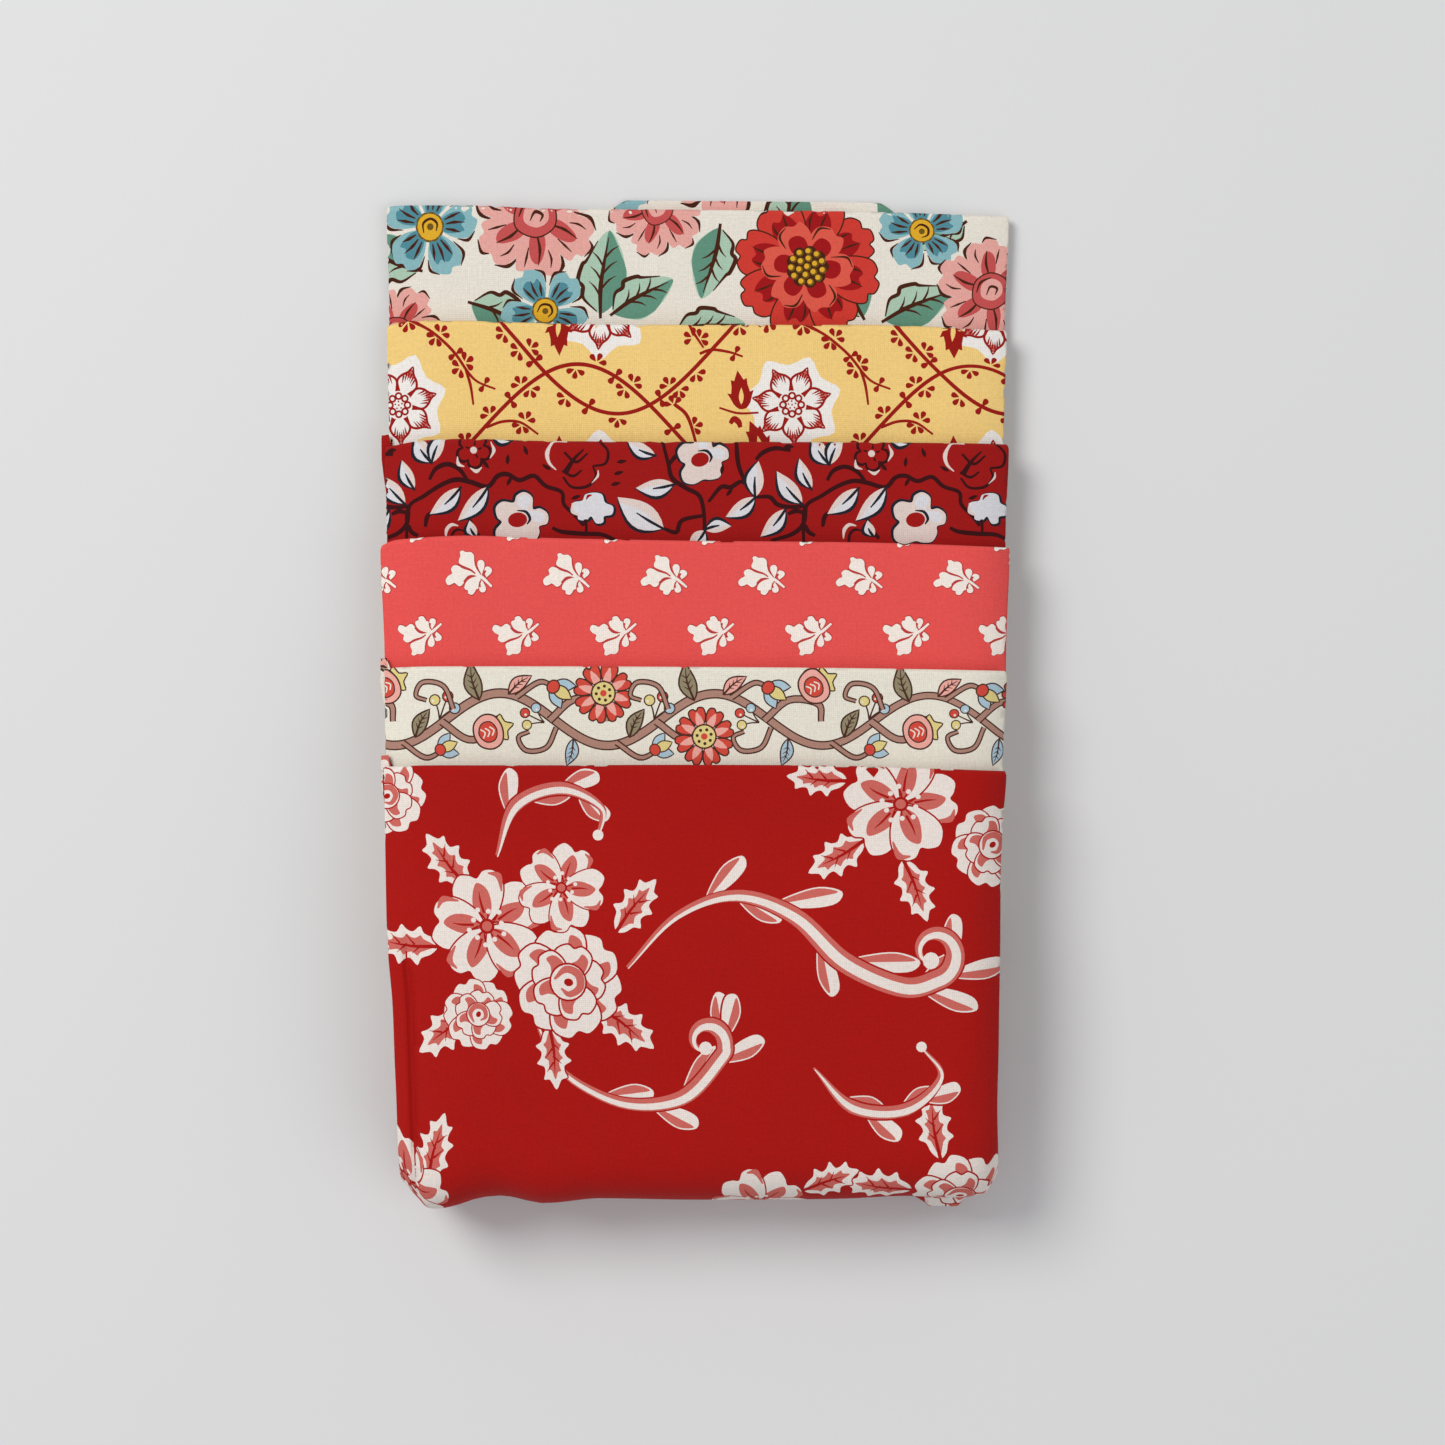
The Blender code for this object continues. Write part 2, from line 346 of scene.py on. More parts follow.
    def settle(self, x, y, z):
        """The straight bundle's points, moved to the uneven form that the photo shows."""
        skew = curve_through(x, EDGE_X, self.pack.top_edge) - self.top
        below = self.top - y
        y_new = y + skew * (1.0 - smooth((below - SKEW_FULL) / (SKEW_GONE - SKEW_FULL)))
        drawn = curve_through(x, DRAWN_X, DRAWN_BACK)
        y_new = y_new + drawn * smooth((y - DRAW_FROM) / (DRAW_FULL - DRAW_FROM))
        flap_x, flap_half, flap_out = FLAP
        flap = smooth((flap_half - np.abs(x - flap_x)) / FLAP_SOFT)
        flap = flap * smooth((TURN_Z + FLAP_TOP - z) / FLAP_FALL)
        y_new = y_new - flap_out * flap * smooth((TURN_Y - y) / FLAP_REACH)
        from_left = np.clip(-x / HALF_WIDTH, 0.0, 1.0)
        from_right = np.clip(x / HALF_WIDTH, 0.0, 1.0)
        x_new = x + curve_through(y, TAPER_Y, LEFT_IN) * from_left
        x_new = x_new - curve_through(y, TAPER_Y, RIGHT_IN) * from_right
        wave = np.sin(2 * math.pi * x / WAVE_LENGTH_X) * np.cos(2 * math.pi * y / WAVE_LENGTH_Y)
        crease_x, crease_half, crease_deep = CREASE
        crease = crease_deep / HEIGHT * np.exp(-((x - crease_x) / crease_half) ** 2)
        crease = crease * smooth((CREASE_FROM - y) / CREASE_REACH)
        z_new = z * (1.0 - side_fall(x) + WAVE * wave - crease)
        return np.stack([x_new, y_new, z_new], 1) * MM

    def normals(self, u, v):
        down_u = self.place(u - NORMAL_STEP, v)
        up_u = self.place(u + NORMAL_STEP, v)
        down_v = self.place(u, v - NORMAL_STEP)
        up_v = self.place(u, v + NORMAL_STEP)
        normal = np.cross(up_v - down_v, up_u - down_u)
        return normal / np.maximum(np.linalg.norm(normal, axis=1, keepdims=True), TINY)

    def shown_u(self, x):
        """u on the top layer at a place x of the straight bundle."""
        kind, u0, u1, a, b, low, high = self.across_parts[2]
        return u0 + (a - x)

    def shown_v(self, y):
        """v on the top run at a place y of the straight bundle, measured along the cloth."""
        return self.run - (self.start_y - y)

    def under_v(self, y):
        """v on the lowest run at a place y of the straight bundle."""
        return self.length - (self.start_y - y)

    def lines(self):
        """The u and v lines of the hidden parts' grid, closer where the cloth curves."""
        u_lines = []
        for kind, u0, u1, a, b, low, high in self.across_parts:
            if kind == "fold":
                count = WIDE_FOLD_LINES if abs(high - low) > 2 * LAYER else NARROW_FOLD_LINES
                u_lines += list(np.linspace(u0, u1, count))
                continue
            u_lines += [u0 + d for d in NEAR_FOLD] + [u1 - d for d in NEAR_FOLD]
            u_lines += list(np.linspace(u0 + NEAR_FOLD[-1], u1 - NEAR_FOLD[-1], RUN_LINES)[1:-1])
        v_lines = []
        for kind, v0, v1, a, b, side, middle_n, index in self.along_parts:
            if kind == "fold":
                v_lines += list(np.linspace(v0, v1, BEND_LINES))
                continue
            places = list(np.arange(0.0, self.run, ROW_STEP)) + NEAR_TOP + [self.run]
            if self.pack.turn:
                places = [p for p in places if p <= self.to_turn or p == self.run]
                arc = TURN_LENGTH * self.turn_r
                count = int(arc / TURN_STEP)
                places += list(self.to_turn + arc * np.arange(count + 1) / count)
                places += list(np.arange(self.to_turn + arc + ROW_STEP, self.run - LAST_ROW, ROW_STEP))
            v_lines += [v0 + abs(p - a) for p in places]
        return distinct(u_lines), distinct(v_lines)


def distinct(values, least=LEAST_STEP):
    """The values in order, without those that lie too close to the one before."""
    kept = []
    for value in sorted(values):
        if not kept or value - kept[-1] > least:
            kept.append(value)
    return kept


# Print shapes. A motif is a list of (outline, ink) in millimetres, the later ones on top.
def ink(code):
    """A colour from its six hex digits, as linear values."""
    values = [int(code[i:i + 2], 16) / 255 for i in (0, 2, 4)]
    return tuple(c / 12.92 if c <= 0.04045 else ((c + 0.055) / 1.055) ** 2.4 for c in values)


def through(points, closed=True, per=6, size=(1.0, 1.0)):
    """A smooth line through points, which are first scaled to a size."""
    p = np.asarray(points, float) * size
    if closed:
        p = np.concatenate([p[-1:], p, p[:2]])
    else:
        p = np.concatenate([2 * p[:1] - p[1:2], p, 2 * p[-1:] - p[-2:-1]])
    out = []
    t = np.arange(per)[:, None] / per
    for a, b, c, d in zip(p[:-3], p[1:-2], p[2:-1], p[3:]):
        out.append(
            0.5 * (2 * b + (c - a) * t + (2 * a - 5 * b + 4 * c - d) * t ** 2
                   + (3 * b - a - 3 * c + d) * t ** 3)
        )
    line = np.concatenate(out)
    return line if closed else np.concatenate([line, p[-2:-1]])


def ribbon(line, widths):
    """An outline along a line, with its width read from a few values spread along it."""
    line = np.asarray(line, float)
    along = np.gradient(line, axis=0)
    along /= np.maximum(np.linalg.norm(along, axis=1, keepdims=True), TINY)
    across = np.stack([-along[:, 1], along[:, 0]], 1)
    at = np.linspace(0, 1, len(line))
    half = np.interp(at, np.linspace(0, 1, len(widths)), widths)[:, None] / 2
    return np.concatenate([line + across * half, (line - across * half)[::-1]])


def stroke(points, widths, per=6, size=(1.0, 1.0)):
    """A ribbon along the smooth line through points."""
    return ribbon(through(points, False, per, size), widths)


def disc(x, y, rx, ry=None, angle=0.0, steps=16):
    ry = rx if ry is None else ry
    a = 2 * math.pi * np.arange(steps) / steps
    p = np.stack([rx * np.cos(a), ry * np.sin(a)], 1)
    return turned(p, angle) + (x, y)


def turned(points, degrees):
    """Points turned round the origin."""
    a = math.radians(degrees)
    rotation = np.array([[math.cos(a), math.sin(a)], [-math.sin(a), math.cos(a)]])
    return np.asarray(points, float) @ rotation


def put(motif, x, y, degrees=0.0, size=1.0):
    """A motif scaled, turned and moved to its place."""
    return [(turned(np.array(outline, float) * size, degrees) + (x, y), colour) for outline, colour in motif]


def lens(length, width, lean=0.0, fullest=0.45, steps=9):
    """A leaf or petal outline from the origin along +X, pointed at both ends."""
    t = np.linspace(0, 1, steps)
    bulge = np.sin(math.pi * t ** (math.log(0.5) / math.log(fullest)))
    spine = lean * np.sin(math.pi * t)
    up = np.stack([t * length, spine + bulge * width / 2], 1)
    down = np.stack([t * length, spine - bulge * width / 2], 1)
    return np.concatenate([up, down[-2:0:-1]])


def drop(length, width, steps=14):
    """A teardrop from its point at the origin to its round end along +X."""
    a = 2 * math.pi * np.arange(steps) / steps
    x = length * (0.5 - 0.5 * np.cos(a))
    y = width * 0.65 * np.sin(a) * (0.5 - 0.5 * np.cos(a)) ** 0.75
    return np.stack([x, y], 1)


def scalloped(count, radius, depth, steps=6, phase=0.0):
    """A closed outline of round lobes."""
    a = 2 * math.pi * np.arange(count * steps) / (count * steps)
    lobe = np.abs(np.sin(count * a / 2)) ** 0.6
    r = radius - depth + depth * lobe
    a = a + math.radians(phase)
    return np.stack([r * np.cos(a), r * np.sin(a)], 1)


def grown(outline, out):
    """An outline moved outwards along its own normals."""
    p = np.asarray(outline, float)
    along = np.roll(p, -1, 0) - np.roll(p, 1, 0)
    along /= np.maximum(np.linalg.norm(along, axis=1, keepdims=True), TINY)
    area = np.sum(p[:, 0] * np.roll(p[:, 1], -1) - np.roll(p[:, 0], -1) * p[:, 1])
    side = 1.0 if area > 0 else -1.0
    return p + side * out * np.stack([along[:, 1], -along[:, 0]], 1)


def outlined(outline, line_ink, fill, width=0.4):
    """An outline in one ink, filled with another."""
    return [(grown(outline, width / 2), line_ink), (grown(outline, -width / 2), fill)]


def around(motif, count, radius=0.0, phase=0.0):
    """A motif repeated round a circle."""
    placed = []
    for k in range(count):
        angle = 360.0 * k / count + phase
        a = math.radians(angle)
        placed += put(motif, radius * math.cos(a), radius * math.sin(a), angle)
    return placed


def spread(rows, dx=0.0):
    """Motifs at their places, from a table of motif, X, Y and, where it is given, turn and size."""
    return [shape for motif, x, y, *more in rows for shape in put(motif, x + dx, y, *more)]


def leaved(leaf, rows, dx=0.0):
    """Leaves of one kind, from a table of X, Y, turn, length and width."""
    return [shape for x, y, turn, *size in rows for shape in put(leaf(*size), x + dx, y, turn)]


def strokes(rows, colour, dx=0.0, per=6):
    """Strokes in one ink, from a table of points and widths."""
    return [(stroke(np.add(points, (dx, 0.0)), widths, per), colour) for points, widths in rows]


# The coral print: rows of small pale leaf sprigs, turned over from row to row
CORAL = ink("e4524f")
CORAL_PALE = ink("f1e6dc")
CORAL_RIM = ink("b93a38")
SPRIG_PITCH = (19.64, 12.3)
SPRIG_START = (-45.7, 26.1)
ROW_SHIFT = 0.52
TOP_ROW_DROP = 2.35


def sprig():
    """A leaf of three lobed blades with small drops along its stalk."""
    blades = (
        [(-4.8, -1.4), (-4.4, -2.2), (-3.6, -2.1), (-3, -1.85), (-2.1, -2.45), (-1.4, -2.2),
         (-0.8, -1.4), (0.3, -0.65), (1.5, -0.8), (0.4, 0.1), (-1.3, 0.6), (-2.3, 1.15), (-3.1, 1.2),
         (-3.7, 0.6), (-3.5, -0.2), (-4.3, -0.65)],
        [(-1.9, 3.7), (-1.3, 3.9), (-0.7, 3.6), (0.3, 3.6), (0.9, 3), (1, 2), (1.5, 0.6),
         (2.3, -0.5), (1.5, -0.3), (0.4, 0.5), (-0.8, 0.95), (-2, 1.5), (-2.1, 2.2), (-1.8, 2.9)],
        [(1.4, -0.8), (0.3, -1.05), (-0.6, -1.7), (-1, -2.6), (-0.8, -3.05), (-0.3, -3.2),
         (-0.2, -3.8), (0.6, -4), (1.1, -3.5), (1.4, -3), (1.8, -2.9), (1.9, -2.1), (2.3, -1.2)],
    )
    outlines = [through(blade, per=4) for blade in blades]
    for x, y, angle, length, width in ((2.5, -0.5, 95, 2.7, 1.6), (3.3, -1, 70, 2.1, 1.7),
                                       (2.5, -1.3, -84, 2.3, 1.5)):
        outlines.append(turned(drop(length, width), angle) + (x, y))
    outlines.append(stroke([(1.2, -0.3), (2.7, -1), (4.5, -2.5)], (0.7, 0.6, 0.4)))
    veins = (
        [(-2.4, 1.35), (-0.9, 0.8), (0.6, 0.2)], [(-1.1, -1.7), (-0.3, -0.85), (0.6, -0.6), (1.4, -0.7)],
        [(1.1, 2.2), (1.4, 0.9), (2.3, -0.4)], [(2.2, -2.6), (2.1, -1.8), (2.6, -1.2)],
        [(3.3, 0.3), (3, -0.3), (3.4, -0.9)],
    )
    shapes = [(grown(outline, 0.16) + (0.05, -0.05), CORAL_RIM) for outline in outlines]
    shapes += [(outline, CORAL_PALE) for outline in outlines]
    shapes += [(stroke(line, (0.34, 0.3, 0.12), per=3), CORAL_RIM) for line in veins]
    return shapes


def coral_print():
    pitch_x, pitch_y = SPRIG_PITCH
    shapes = []
    for row in range(-3, 3):
        y = SPRIG_START[1] + row * pitch_y - (TOP_ROW_DROP if row == 1 else 0)
        turned_over = row % 2
        for k in range(-2, 8):
            x = SPRIG_START[0] + (k - ROW_SHIFT * turned_over) * pitch_x
            shapes += [(p * (1, -1 if turned_over else 1) + (x, y), c) for p, c in sprig()]
    return CORAL, shapes


# The yellow print: thin crossing vines with groups of drops, and white star flowers
YELLOW = ink("eeca7d")
VINE_RED = ink("981710")
TIP_RED = ink("c96a62")
YELLOW_WHITE = ink("ebe6e0")
YELLOW_PERIOD = 80.3
# Each vine's level, height and phase
RISING_VINE = (55.2, 14, -24.2)
FALLING_VINE = (73.2, -14, -16.1)
VINE_X = np.arange(-68.6, 68.7, 0.8)
VINE_WIDTH = 0.8
OFF_VINE = 0.9
# Where along each vine its drops above and below it stand, and its bars
ON_VINES = (
    (RISING_VINE, (-46.4, -41.4, -35.2, -20.6, -13.6), (-34.4, -24.6, -14), (-37.8, -16.6, -4.9)),
    (FALLING_VINE, (-34.6, -5), (-38.4, -35.4, -26, -16, -4.2, -0.8, 8), (-33, -22, -7.4)),
)
TWIGS = (
    ([(-60.6, 78), (-55.2, 75.8), (-51.4, 73), (-48.8, 70.5), (-46.4, 67.4), (-44.4, 65.6),
      (-40.9, 64.2)], 0.6),
    ([(-47, 68.2), (-46, 65), (-45.4, 61)], 0.6),
    ([(-42.8, 56.4), (-39.4, 57.6), (-35.8, 57.4), (-32.2, 55)], 0.6),
    ([(0.6, 71.4), (3.1, 72.2), (6.7, 71.7), (9.4, 70.8)], 0.6),
    ([(-4.6, 61.2), (-1.8, 58.5), (0.2, 52)], 0.75),
    ([(-1.8, 77.6), (-0.6, 75.6), (1.4, 72.6)], 0.6),
)
STAR_PLACES = ((-60.9, 61, 0), (-19.3, 80.3, -8), (-19.5, 45.7, 22.6))
FAN_PLACES = (
    (-58.8, 77, 170), (-52.2, 74.6, -30), (-53, 74, 150), (-47.2, 69.2, -50),
    (-48, 68.4, 130), (-34.8, 57.8, -15), (-35.6, 56.9, 165), (-0.8, 74.6, 70),
    (0.6, 74.4, -50), (-4.7, 61, 30), (-0.7, 56.6, -65), (14.4, 77.6, 180),
)
BAR_PLACES = ((-49, 70.8, -45, 0.9), (-43.2, 65.1, -20, 0.9), (7.8, 71.4, -15, 0.9))
BUD_PLACES = ((9.4, 60.1, 98, 0.97), (13.8, 50.6, 113, 0.95), (-28.2, 79, -88), (-27.7, 46.6, 92))
UNDER_BUD = (
    ([(4.6, 60.4), (8.4, 59.3), (12.6, 59.4)], (0.4, 0.5, 0.4)),
    ([(6.8, 57.2), (7.6, 58.1), (8.5, 57.5), (8.9, 56.4)], (0.8, 1.25, 1.25, 0.8)),
)


def drop_fan():
    """Three drops that spread from one place, the middle one along +Y."""
    body = drop(1.8, 1.25) + (0.25, 0)
    return [(turned(body, angle), VINE_RED) for angle in (16, 80, 144)]


def cross_bar():
    """Two drops point to point, across a vine that runs along X."""
    return [(turned(drop(1.9, 1.4, steps=12), angle), VINE_RED) for angle in (78, -102)]


def star_flower():
    """A white flower of seven pointed petals, inked at their tips, on a white patch."""
    patch = []
    for k in range(14):
        a = math.radians(180.0 * k / 7 + 18)
        r = 10.3 if k % 2 == 0 else 8.1
        patch.append((r * math.cos(a), r * math.sin(a)))
    shapes = [(through(patch, per=3), YELLOW_WHITE)]
    side = through([(1.4, 0), (3, 1.2), (4.5, 2.1), (5.8, 1.7), (6.9, 0.6), (8.1, 0)], False, per=4)
    petal = np.concatenate([side, side[-2:0:-1] * (1, -1)])
    one = outlined(petal, VINE_RED, YELLOW_WHITE, 0.5)
    one.append((lens(1.5, 1.2, fullest=0.35) + (5.9, 0), TIP_RED))
    for offset in (-1.3, -0.8, -0.3, 0.3, 0.8, 1.3):
        near = 7.2 - 0.95 * abs(offset)
        line = [(near, offset * 0.95), (near - 0.7, offset * 0.86), (near - 1.5, offset * 0.74)]
        one.append((stroke(line, (0.42, 0.3, 0.08), per=3), VINE_RED))
    shapes += around(one, 7, phase=16)
    shapes += [(disc(0, 0, 2.9, steps=20), YELLOW_WHITE)]
    shapes += around(outlined(disc(1.85, 0, 0.62, steps=12), VINE_RED, YELLOW_WHITE, 0.42), 8)
    shapes += around([(disc(0.75, 0, 0.2, steps=6), VINE_RED)], 5, phase=23)
    shapes += [(disc(0, 0, 0.2, steps=6), VINE_RED)]
    return shapes


def red_bud():
    """A bud with two pairs of side points, a long tip and a pale slit."""
    side = [(0.1, 0.7), (0.6, 1.3), (1.3, 1.8), (2.6, 2.3), (3.7, 2.8), (3.5, 2), (4.9, 1.7), (6.4, 1.7),
            (6.1, 1), (7.1, 0.55)]
    body = [(0, 0)] + side + [(8.2, 0)] + [(x, -y) for x, y in reversed(side)]
    slit = turned(lens(3.6, 1), -8) + (1, 0.2)
    return [(np.array(body), VINE_RED), (slit, YELLOW)]


def on_vine(vine, x):
    """Height and slope in degrees of a vine at x."""
    level, height, phase = vine
    angle = 2 * math.pi * (x - phase) / YELLOW_PERIOD
    rise = -height * 2 * math.pi / YELLOW_PERIOD * np.sin(angle)
    return level + height * np.cos(angle), np.degrees(np.arctan(rise))


def along_vine(vine, places, away, motif):
    """Motifs beside a vine, turned the way it grows."""
    shapes = []
    for x in places:
        y, slope = on_vine(vine, x)
        normal = math.radians(slope + 90)
        shapes += put(motif, x + away * math.cos(normal), y + away * math.sin(normal), slope)
    return shapes


def yellow_print():
    fan, bar = drop_fan(), cross_bar()
    repeats = [k * YELLOW_PERIOD for k in (-1, 0, 1)]
    shapes = []
    for dx in repeats:
        shapes += spread([(star_flower(), *place) for place in STAR_PLACES], dx)
    for vine in (RISING_VINE, FALLING_VINE):
        line = np.stack([VINE_X, on_vine(vine, VINE_X)[0]], 1)
        shapes.append((ribbon(line, (VINE_WIDTH, VINE_WIDTH)), VINE_RED))
    for dx in repeats:
        for vine, above, below, bars in ON_VINES:
            shapes += along_vine(vine, np.add(above, dx), OFF_VINE, fan)
            shapes += along_vine(vine, np.add(below, dx), -OFF_VINE, put(fan, 0, 0, 180))
            shapes += along_vine(vine, np.add(bars, dx), 0, bar)
        shapes += strokes([(points, (width, width, width * 0.7)) for points, width in TWIGS], VINE_RED, dx)
        shapes += spread([(fan, *place) for place in FAN_PLACES], dx)
        shapes += spread([(bar, *place) for place in BAR_PLACES], dx)
        shapes += spread([(red_bud(), *place) for place in BUD_PLACES], dx)
        shapes += strokes(UNDER_BUD, VINE_RED, dx)
    return YELLOW, shapes


# The dark red print: dark trailing stems, white leaves and small blossoms
DEEP_RED = ink("9b1412")
STEM_DARK = ink("3a0d10")
LINE_DARK = ink("20202a")
ICE = ink("d6d5d9")
ICE_WARM = ink("dbcac2")
DARK_PERIOD = 80.5
STEMS = (
    [(-58.7, 30), (-58.9, 37.7), (-58.1, 40.5), (-55.3, 42.2), (-52, 44.2), (-48.8, 45.3),
     (-45.9, 44.9), (-42.3, 44), (-40.3, 46), (-38.2, 46.4), (-35.8, 45.3), (-32.9, 46.2),
     (-30.5, 44.2), (-27.3, 43), (-26.8, 40.5), (-24.4, 38.1), (-22.8, 36.2)],
    [(-54.1, 45.4), (-52.8, 47.4), (-50.4, 48.2), (-48, 47.2), (-46.4, 45.2)],
    [(-62, 38.6), (-60.4, 39.2), (-58.7, 38.8)],
    [(-7, 53.7), (-5.7, 48.7), (-4.9, 45.8), (-2.1, 43.8), (0.6, 42.2), (1.5, 38.6), (1.6, 35)],
    [(-2.3, 50.6), (-4.2, 50.2), (-5.7, 48.4)],
    [(-6.6, 35.6), (-4.1, 34.9), (-2.9, 37.3), (1.6, 38.3)],
    [(-29.2, 35.8), (-27.3, 35), (-23.2, 34.6), (-19.1, 34.4), (-16, 33)],
    [(2.4, 41), (4.9, 44), (6.9, 44), (9.4, 45.1), (11.9, 42)],
    [(8, 54), (8.4, 49), (9.6, 45.4)],
    [(12, 42), (14.8, 42), (16.4, 40.5), (19, 40), (22.6, 40.2)],
    [(22.2, 40.2), (21.6, 36.6), (19.3, 34.5), (15, 33.2)],
    [(12, 49.6), (13.4, 51), (15.8, 51.9), (19, 51.5)],
    [(22, 36.4), (22.6, 35), (24, 34.2)],
    [(-55, 36), (-54.6, 38), (-53.6, 39)],
    [(-46.2, 38), (-45, 35.4), (-43.6, 33.6)],
)
STEM_WIDTHS = (0.65, 0.95, 0.9, 0.7)
WHITE_LEAVES = (
    (-53.6, 48.6, 122, 6.6, 3.6), (-53.6, 48.6, 64, 6.4, 3), (-57.2, 43.6, 112, 6.8, 2.9),
    (-47.8, 43.8, 220, 8.2, 3.5), (-42.2, 44, 228, 9.2, 3.5),
    (-4.5, 44.6, 186, 7.9, 3.7), (-6.6, 35.6, 146, 11.4, 5.7), (-8.3, 50.4, 154, 6.4, 2.9),
    (11.9, 42, 85, 7.4, 3.8), (11.9, 42, 214, 7.3, 3.3), (21.4, 40.6, 128, 8.5, 3.8),
    (18, 39.6, 228, 7.6, 3.3), (1.7, 35.4, 8, 5.4, 2.8), (1.7, 35.2, 226, 4.8, 3.6),
    (-44.6, 34, 112, 3.6, 2.4), (-37.6, 53.4, 20, 5.4, 2.6), (-37.2, 53, 160, 5, 2.4),
)
HOOK = np.array([(-50.8, 33.6), (-50.6, 35.4), (-49.6, 36.4), (-48.2, 36.2)])
DARK_DASHES = (
    (-38.3, 48.2, 85), (-38.4, 44.2, 60), (-25.4, 41.6, 20), (-16.2, 49, 8),
    (-16.8, 46.6, 14), (-17.4, 44.4, 14), (-42, 47.4, 130), (-34.2, 50.2, 110),
    (6, 42.2, 50), (17.6, 52.2, 0), (5, 46.6, 80), (-29.4, 47.4, 150),
)


def white_leaf(length, width, lean=0.5):
    """A two-toned pale leaf with a dark line down one edge and part of its midrib."""
    body = lens(length, width, lean)
    cool = lens(length * 0.86, width * 0.6, lean) + (length * 0.06, width * 0.12)
    half = len(body) // 2 + 1
    edge = ribbon(body[:half], (0.1, 0.5, 0.6, 0.45, 0.1))
    rib = stroke([(length * -0.04, 0), (length * 0.28, lean * 0.7), (length * 0.56, lean * 0.9)],
                 (0.5, 0.6, 0.25), per=4)
    return [(edge + (0, 0.12), LINE_DARK), (body, ICE_WARM), (cool, ICE),
            (edge, LINE_DARK), (rib, LINE_DARK)]


def white_blossom():
    """A five-lobed pale flower with a red eye and a dark hook round it."""
    outline = through([(0.6, 5.3), (-1, 4.6), (-1.6, 3.2), (-3.8, 3.4), (-5.2, 2.2), (-4.9, 0.2),
                       (-4, -0.8), (-5.2, -2.4), (-4.9, -4.4), (-3, -5.2), (-0.8, -4.6), (0.6, -4.9),
                       (2.6, -4.7), (3.6, -3), (3.6, -1.6), (5.2, -1), (5.3, 0.9), (3.8, 2),
                       (2.3, 1.9), (2.2, 4.2)], per=4)
    eye = disc(-0.8, -0.3, 1.95, 1.5, 6, steps=20)
    hook = stroke([(-0.9, 1.6), (0.9, 1.3), (1.7, -0.1), (1.1, -1.2)], (0.2, 0.6, 0.6, 0.25), per=5)
    cool = through([(0.6, 4.8), (-0.6, 4), (-0.6, 2.4), (1.6, 1.6), (3.6, 1.4), (4.6, 0.6), (4.4, -0.6),
                    (2.8, -0.8), (1.2, 1.6), (1.9, 3.8)], per=4)
    return [(grown(outline, 0.42) + (-0.18, 0.12), LINE_DARK), (outline, ICE_WARM), (cool, ICE),
            (eye, DEEP_RED), (hook, LINE_DARK)]


def line_blossom():
    """A red flower on red, drawn in dark line with white crescents and a white eye."""
    shapes = outlined(scalloped(5, 3.5, 1.2, steps=8, phase=18), STEM_DARK, DEEP_RED, 0.6)
    for angle in (8, 72, 150, -70):
        shapes.append((stroke(turned([(1, 0), (1.8, 0.1)], angle), (0.5, 0.2), per=3), STEM_DARK))
    for angle, length in ((-5, 1.6), (-88, 1.2), (215, 1.2)):
        arc = turned([(3.3, -length), (4.1, 0), (3.5, length)], angle)
        shapes.append((stroke(arc, (0.15, 0.75, 0.15), per=5), ICE_WARM))
    shapes.append((disc(0, 0, 0.7, steps=12), ICE_WARM))
    return shapes


def open_blossom():
    """Half a red flower in dark line, with one long white crescent."""
    petals = ([(-2.4, -3.4), (-0.6, -5.4), (2.6, -5.2), (4.2, -3.2), (3.6, -1.2)],
              [(3.6, -1.2), (6.2, -0.6), (6.6, 2), (4.4, 4)],
              [(-2.2, 1.6), (0.2, -0.4), (2.6, 1.4)],
              [(-2.6, -2.2), (-0.4, -3.2), (1.4, -2)])
    shapes = strokes([(points, (0.45, 0.65, 0.35)) for points in petals], STEM_DARK, per=5)
    crescent = [(-1.6, 3.6), (-4.4, 3.4), (-5.6, 1.4), (-5.2, -0.6), (-3.8, -2)]
    shapes += strokes([(crescent, (0.5, 0.35, 0.9, 0.6, 0.2))], ICE_WARM, per=5)
    shapes += strokes([([(3.4, -4.6), (4.6, -3.2), (4.7, -2)], (0.1, 0.5, 0.15))], ICE_WARM, per=4)
    return shapes + strokes([([(-2, -2.6), (-0.2, 0.2), (1.8, 2.2)], (1.2, 0.7, 0.3))], STEM_DARK, per=5)


def small_cloud():
    """A small pale flower seen from the side, on its stalk."""
    outline = through([(0.2, 3), (-1.6, 2.6), (-2.2, 1.4), (-4, 1), (-4.4, -0.6), (-3.2, -1.2),
                       (-3, -2.4), (-1.4, -2.6), (-0.4, -1.8), (0.6, -3.2), (2, -3), (2.2, -1.8),
                       (3.8, -1.4), (4, 0.2), (2.4, 1), (1.8, 2.6)], per=4)
    return [(grown(outline, 0.35) + (0.2, -0.15), LINE_DARK), (outline, ICE),
            (stroke([(-4.2, 0.9), (-4.2, -0.8), (-2.9, -1.6)], (0.2, 0.7, 0.3)), ICE_WARM),
            (stroke([(-1.4, 1.6), (-1, 2.3), (-0.3, 2.5)], (0.2, 0.6, 0.2)), DEEP_RED),
            (stroke([(-1.6, -2.4), (-1.4, -4), (-1.5, -5.6)], (0.7, 0.6, 0.6)), STEM_DARK)]


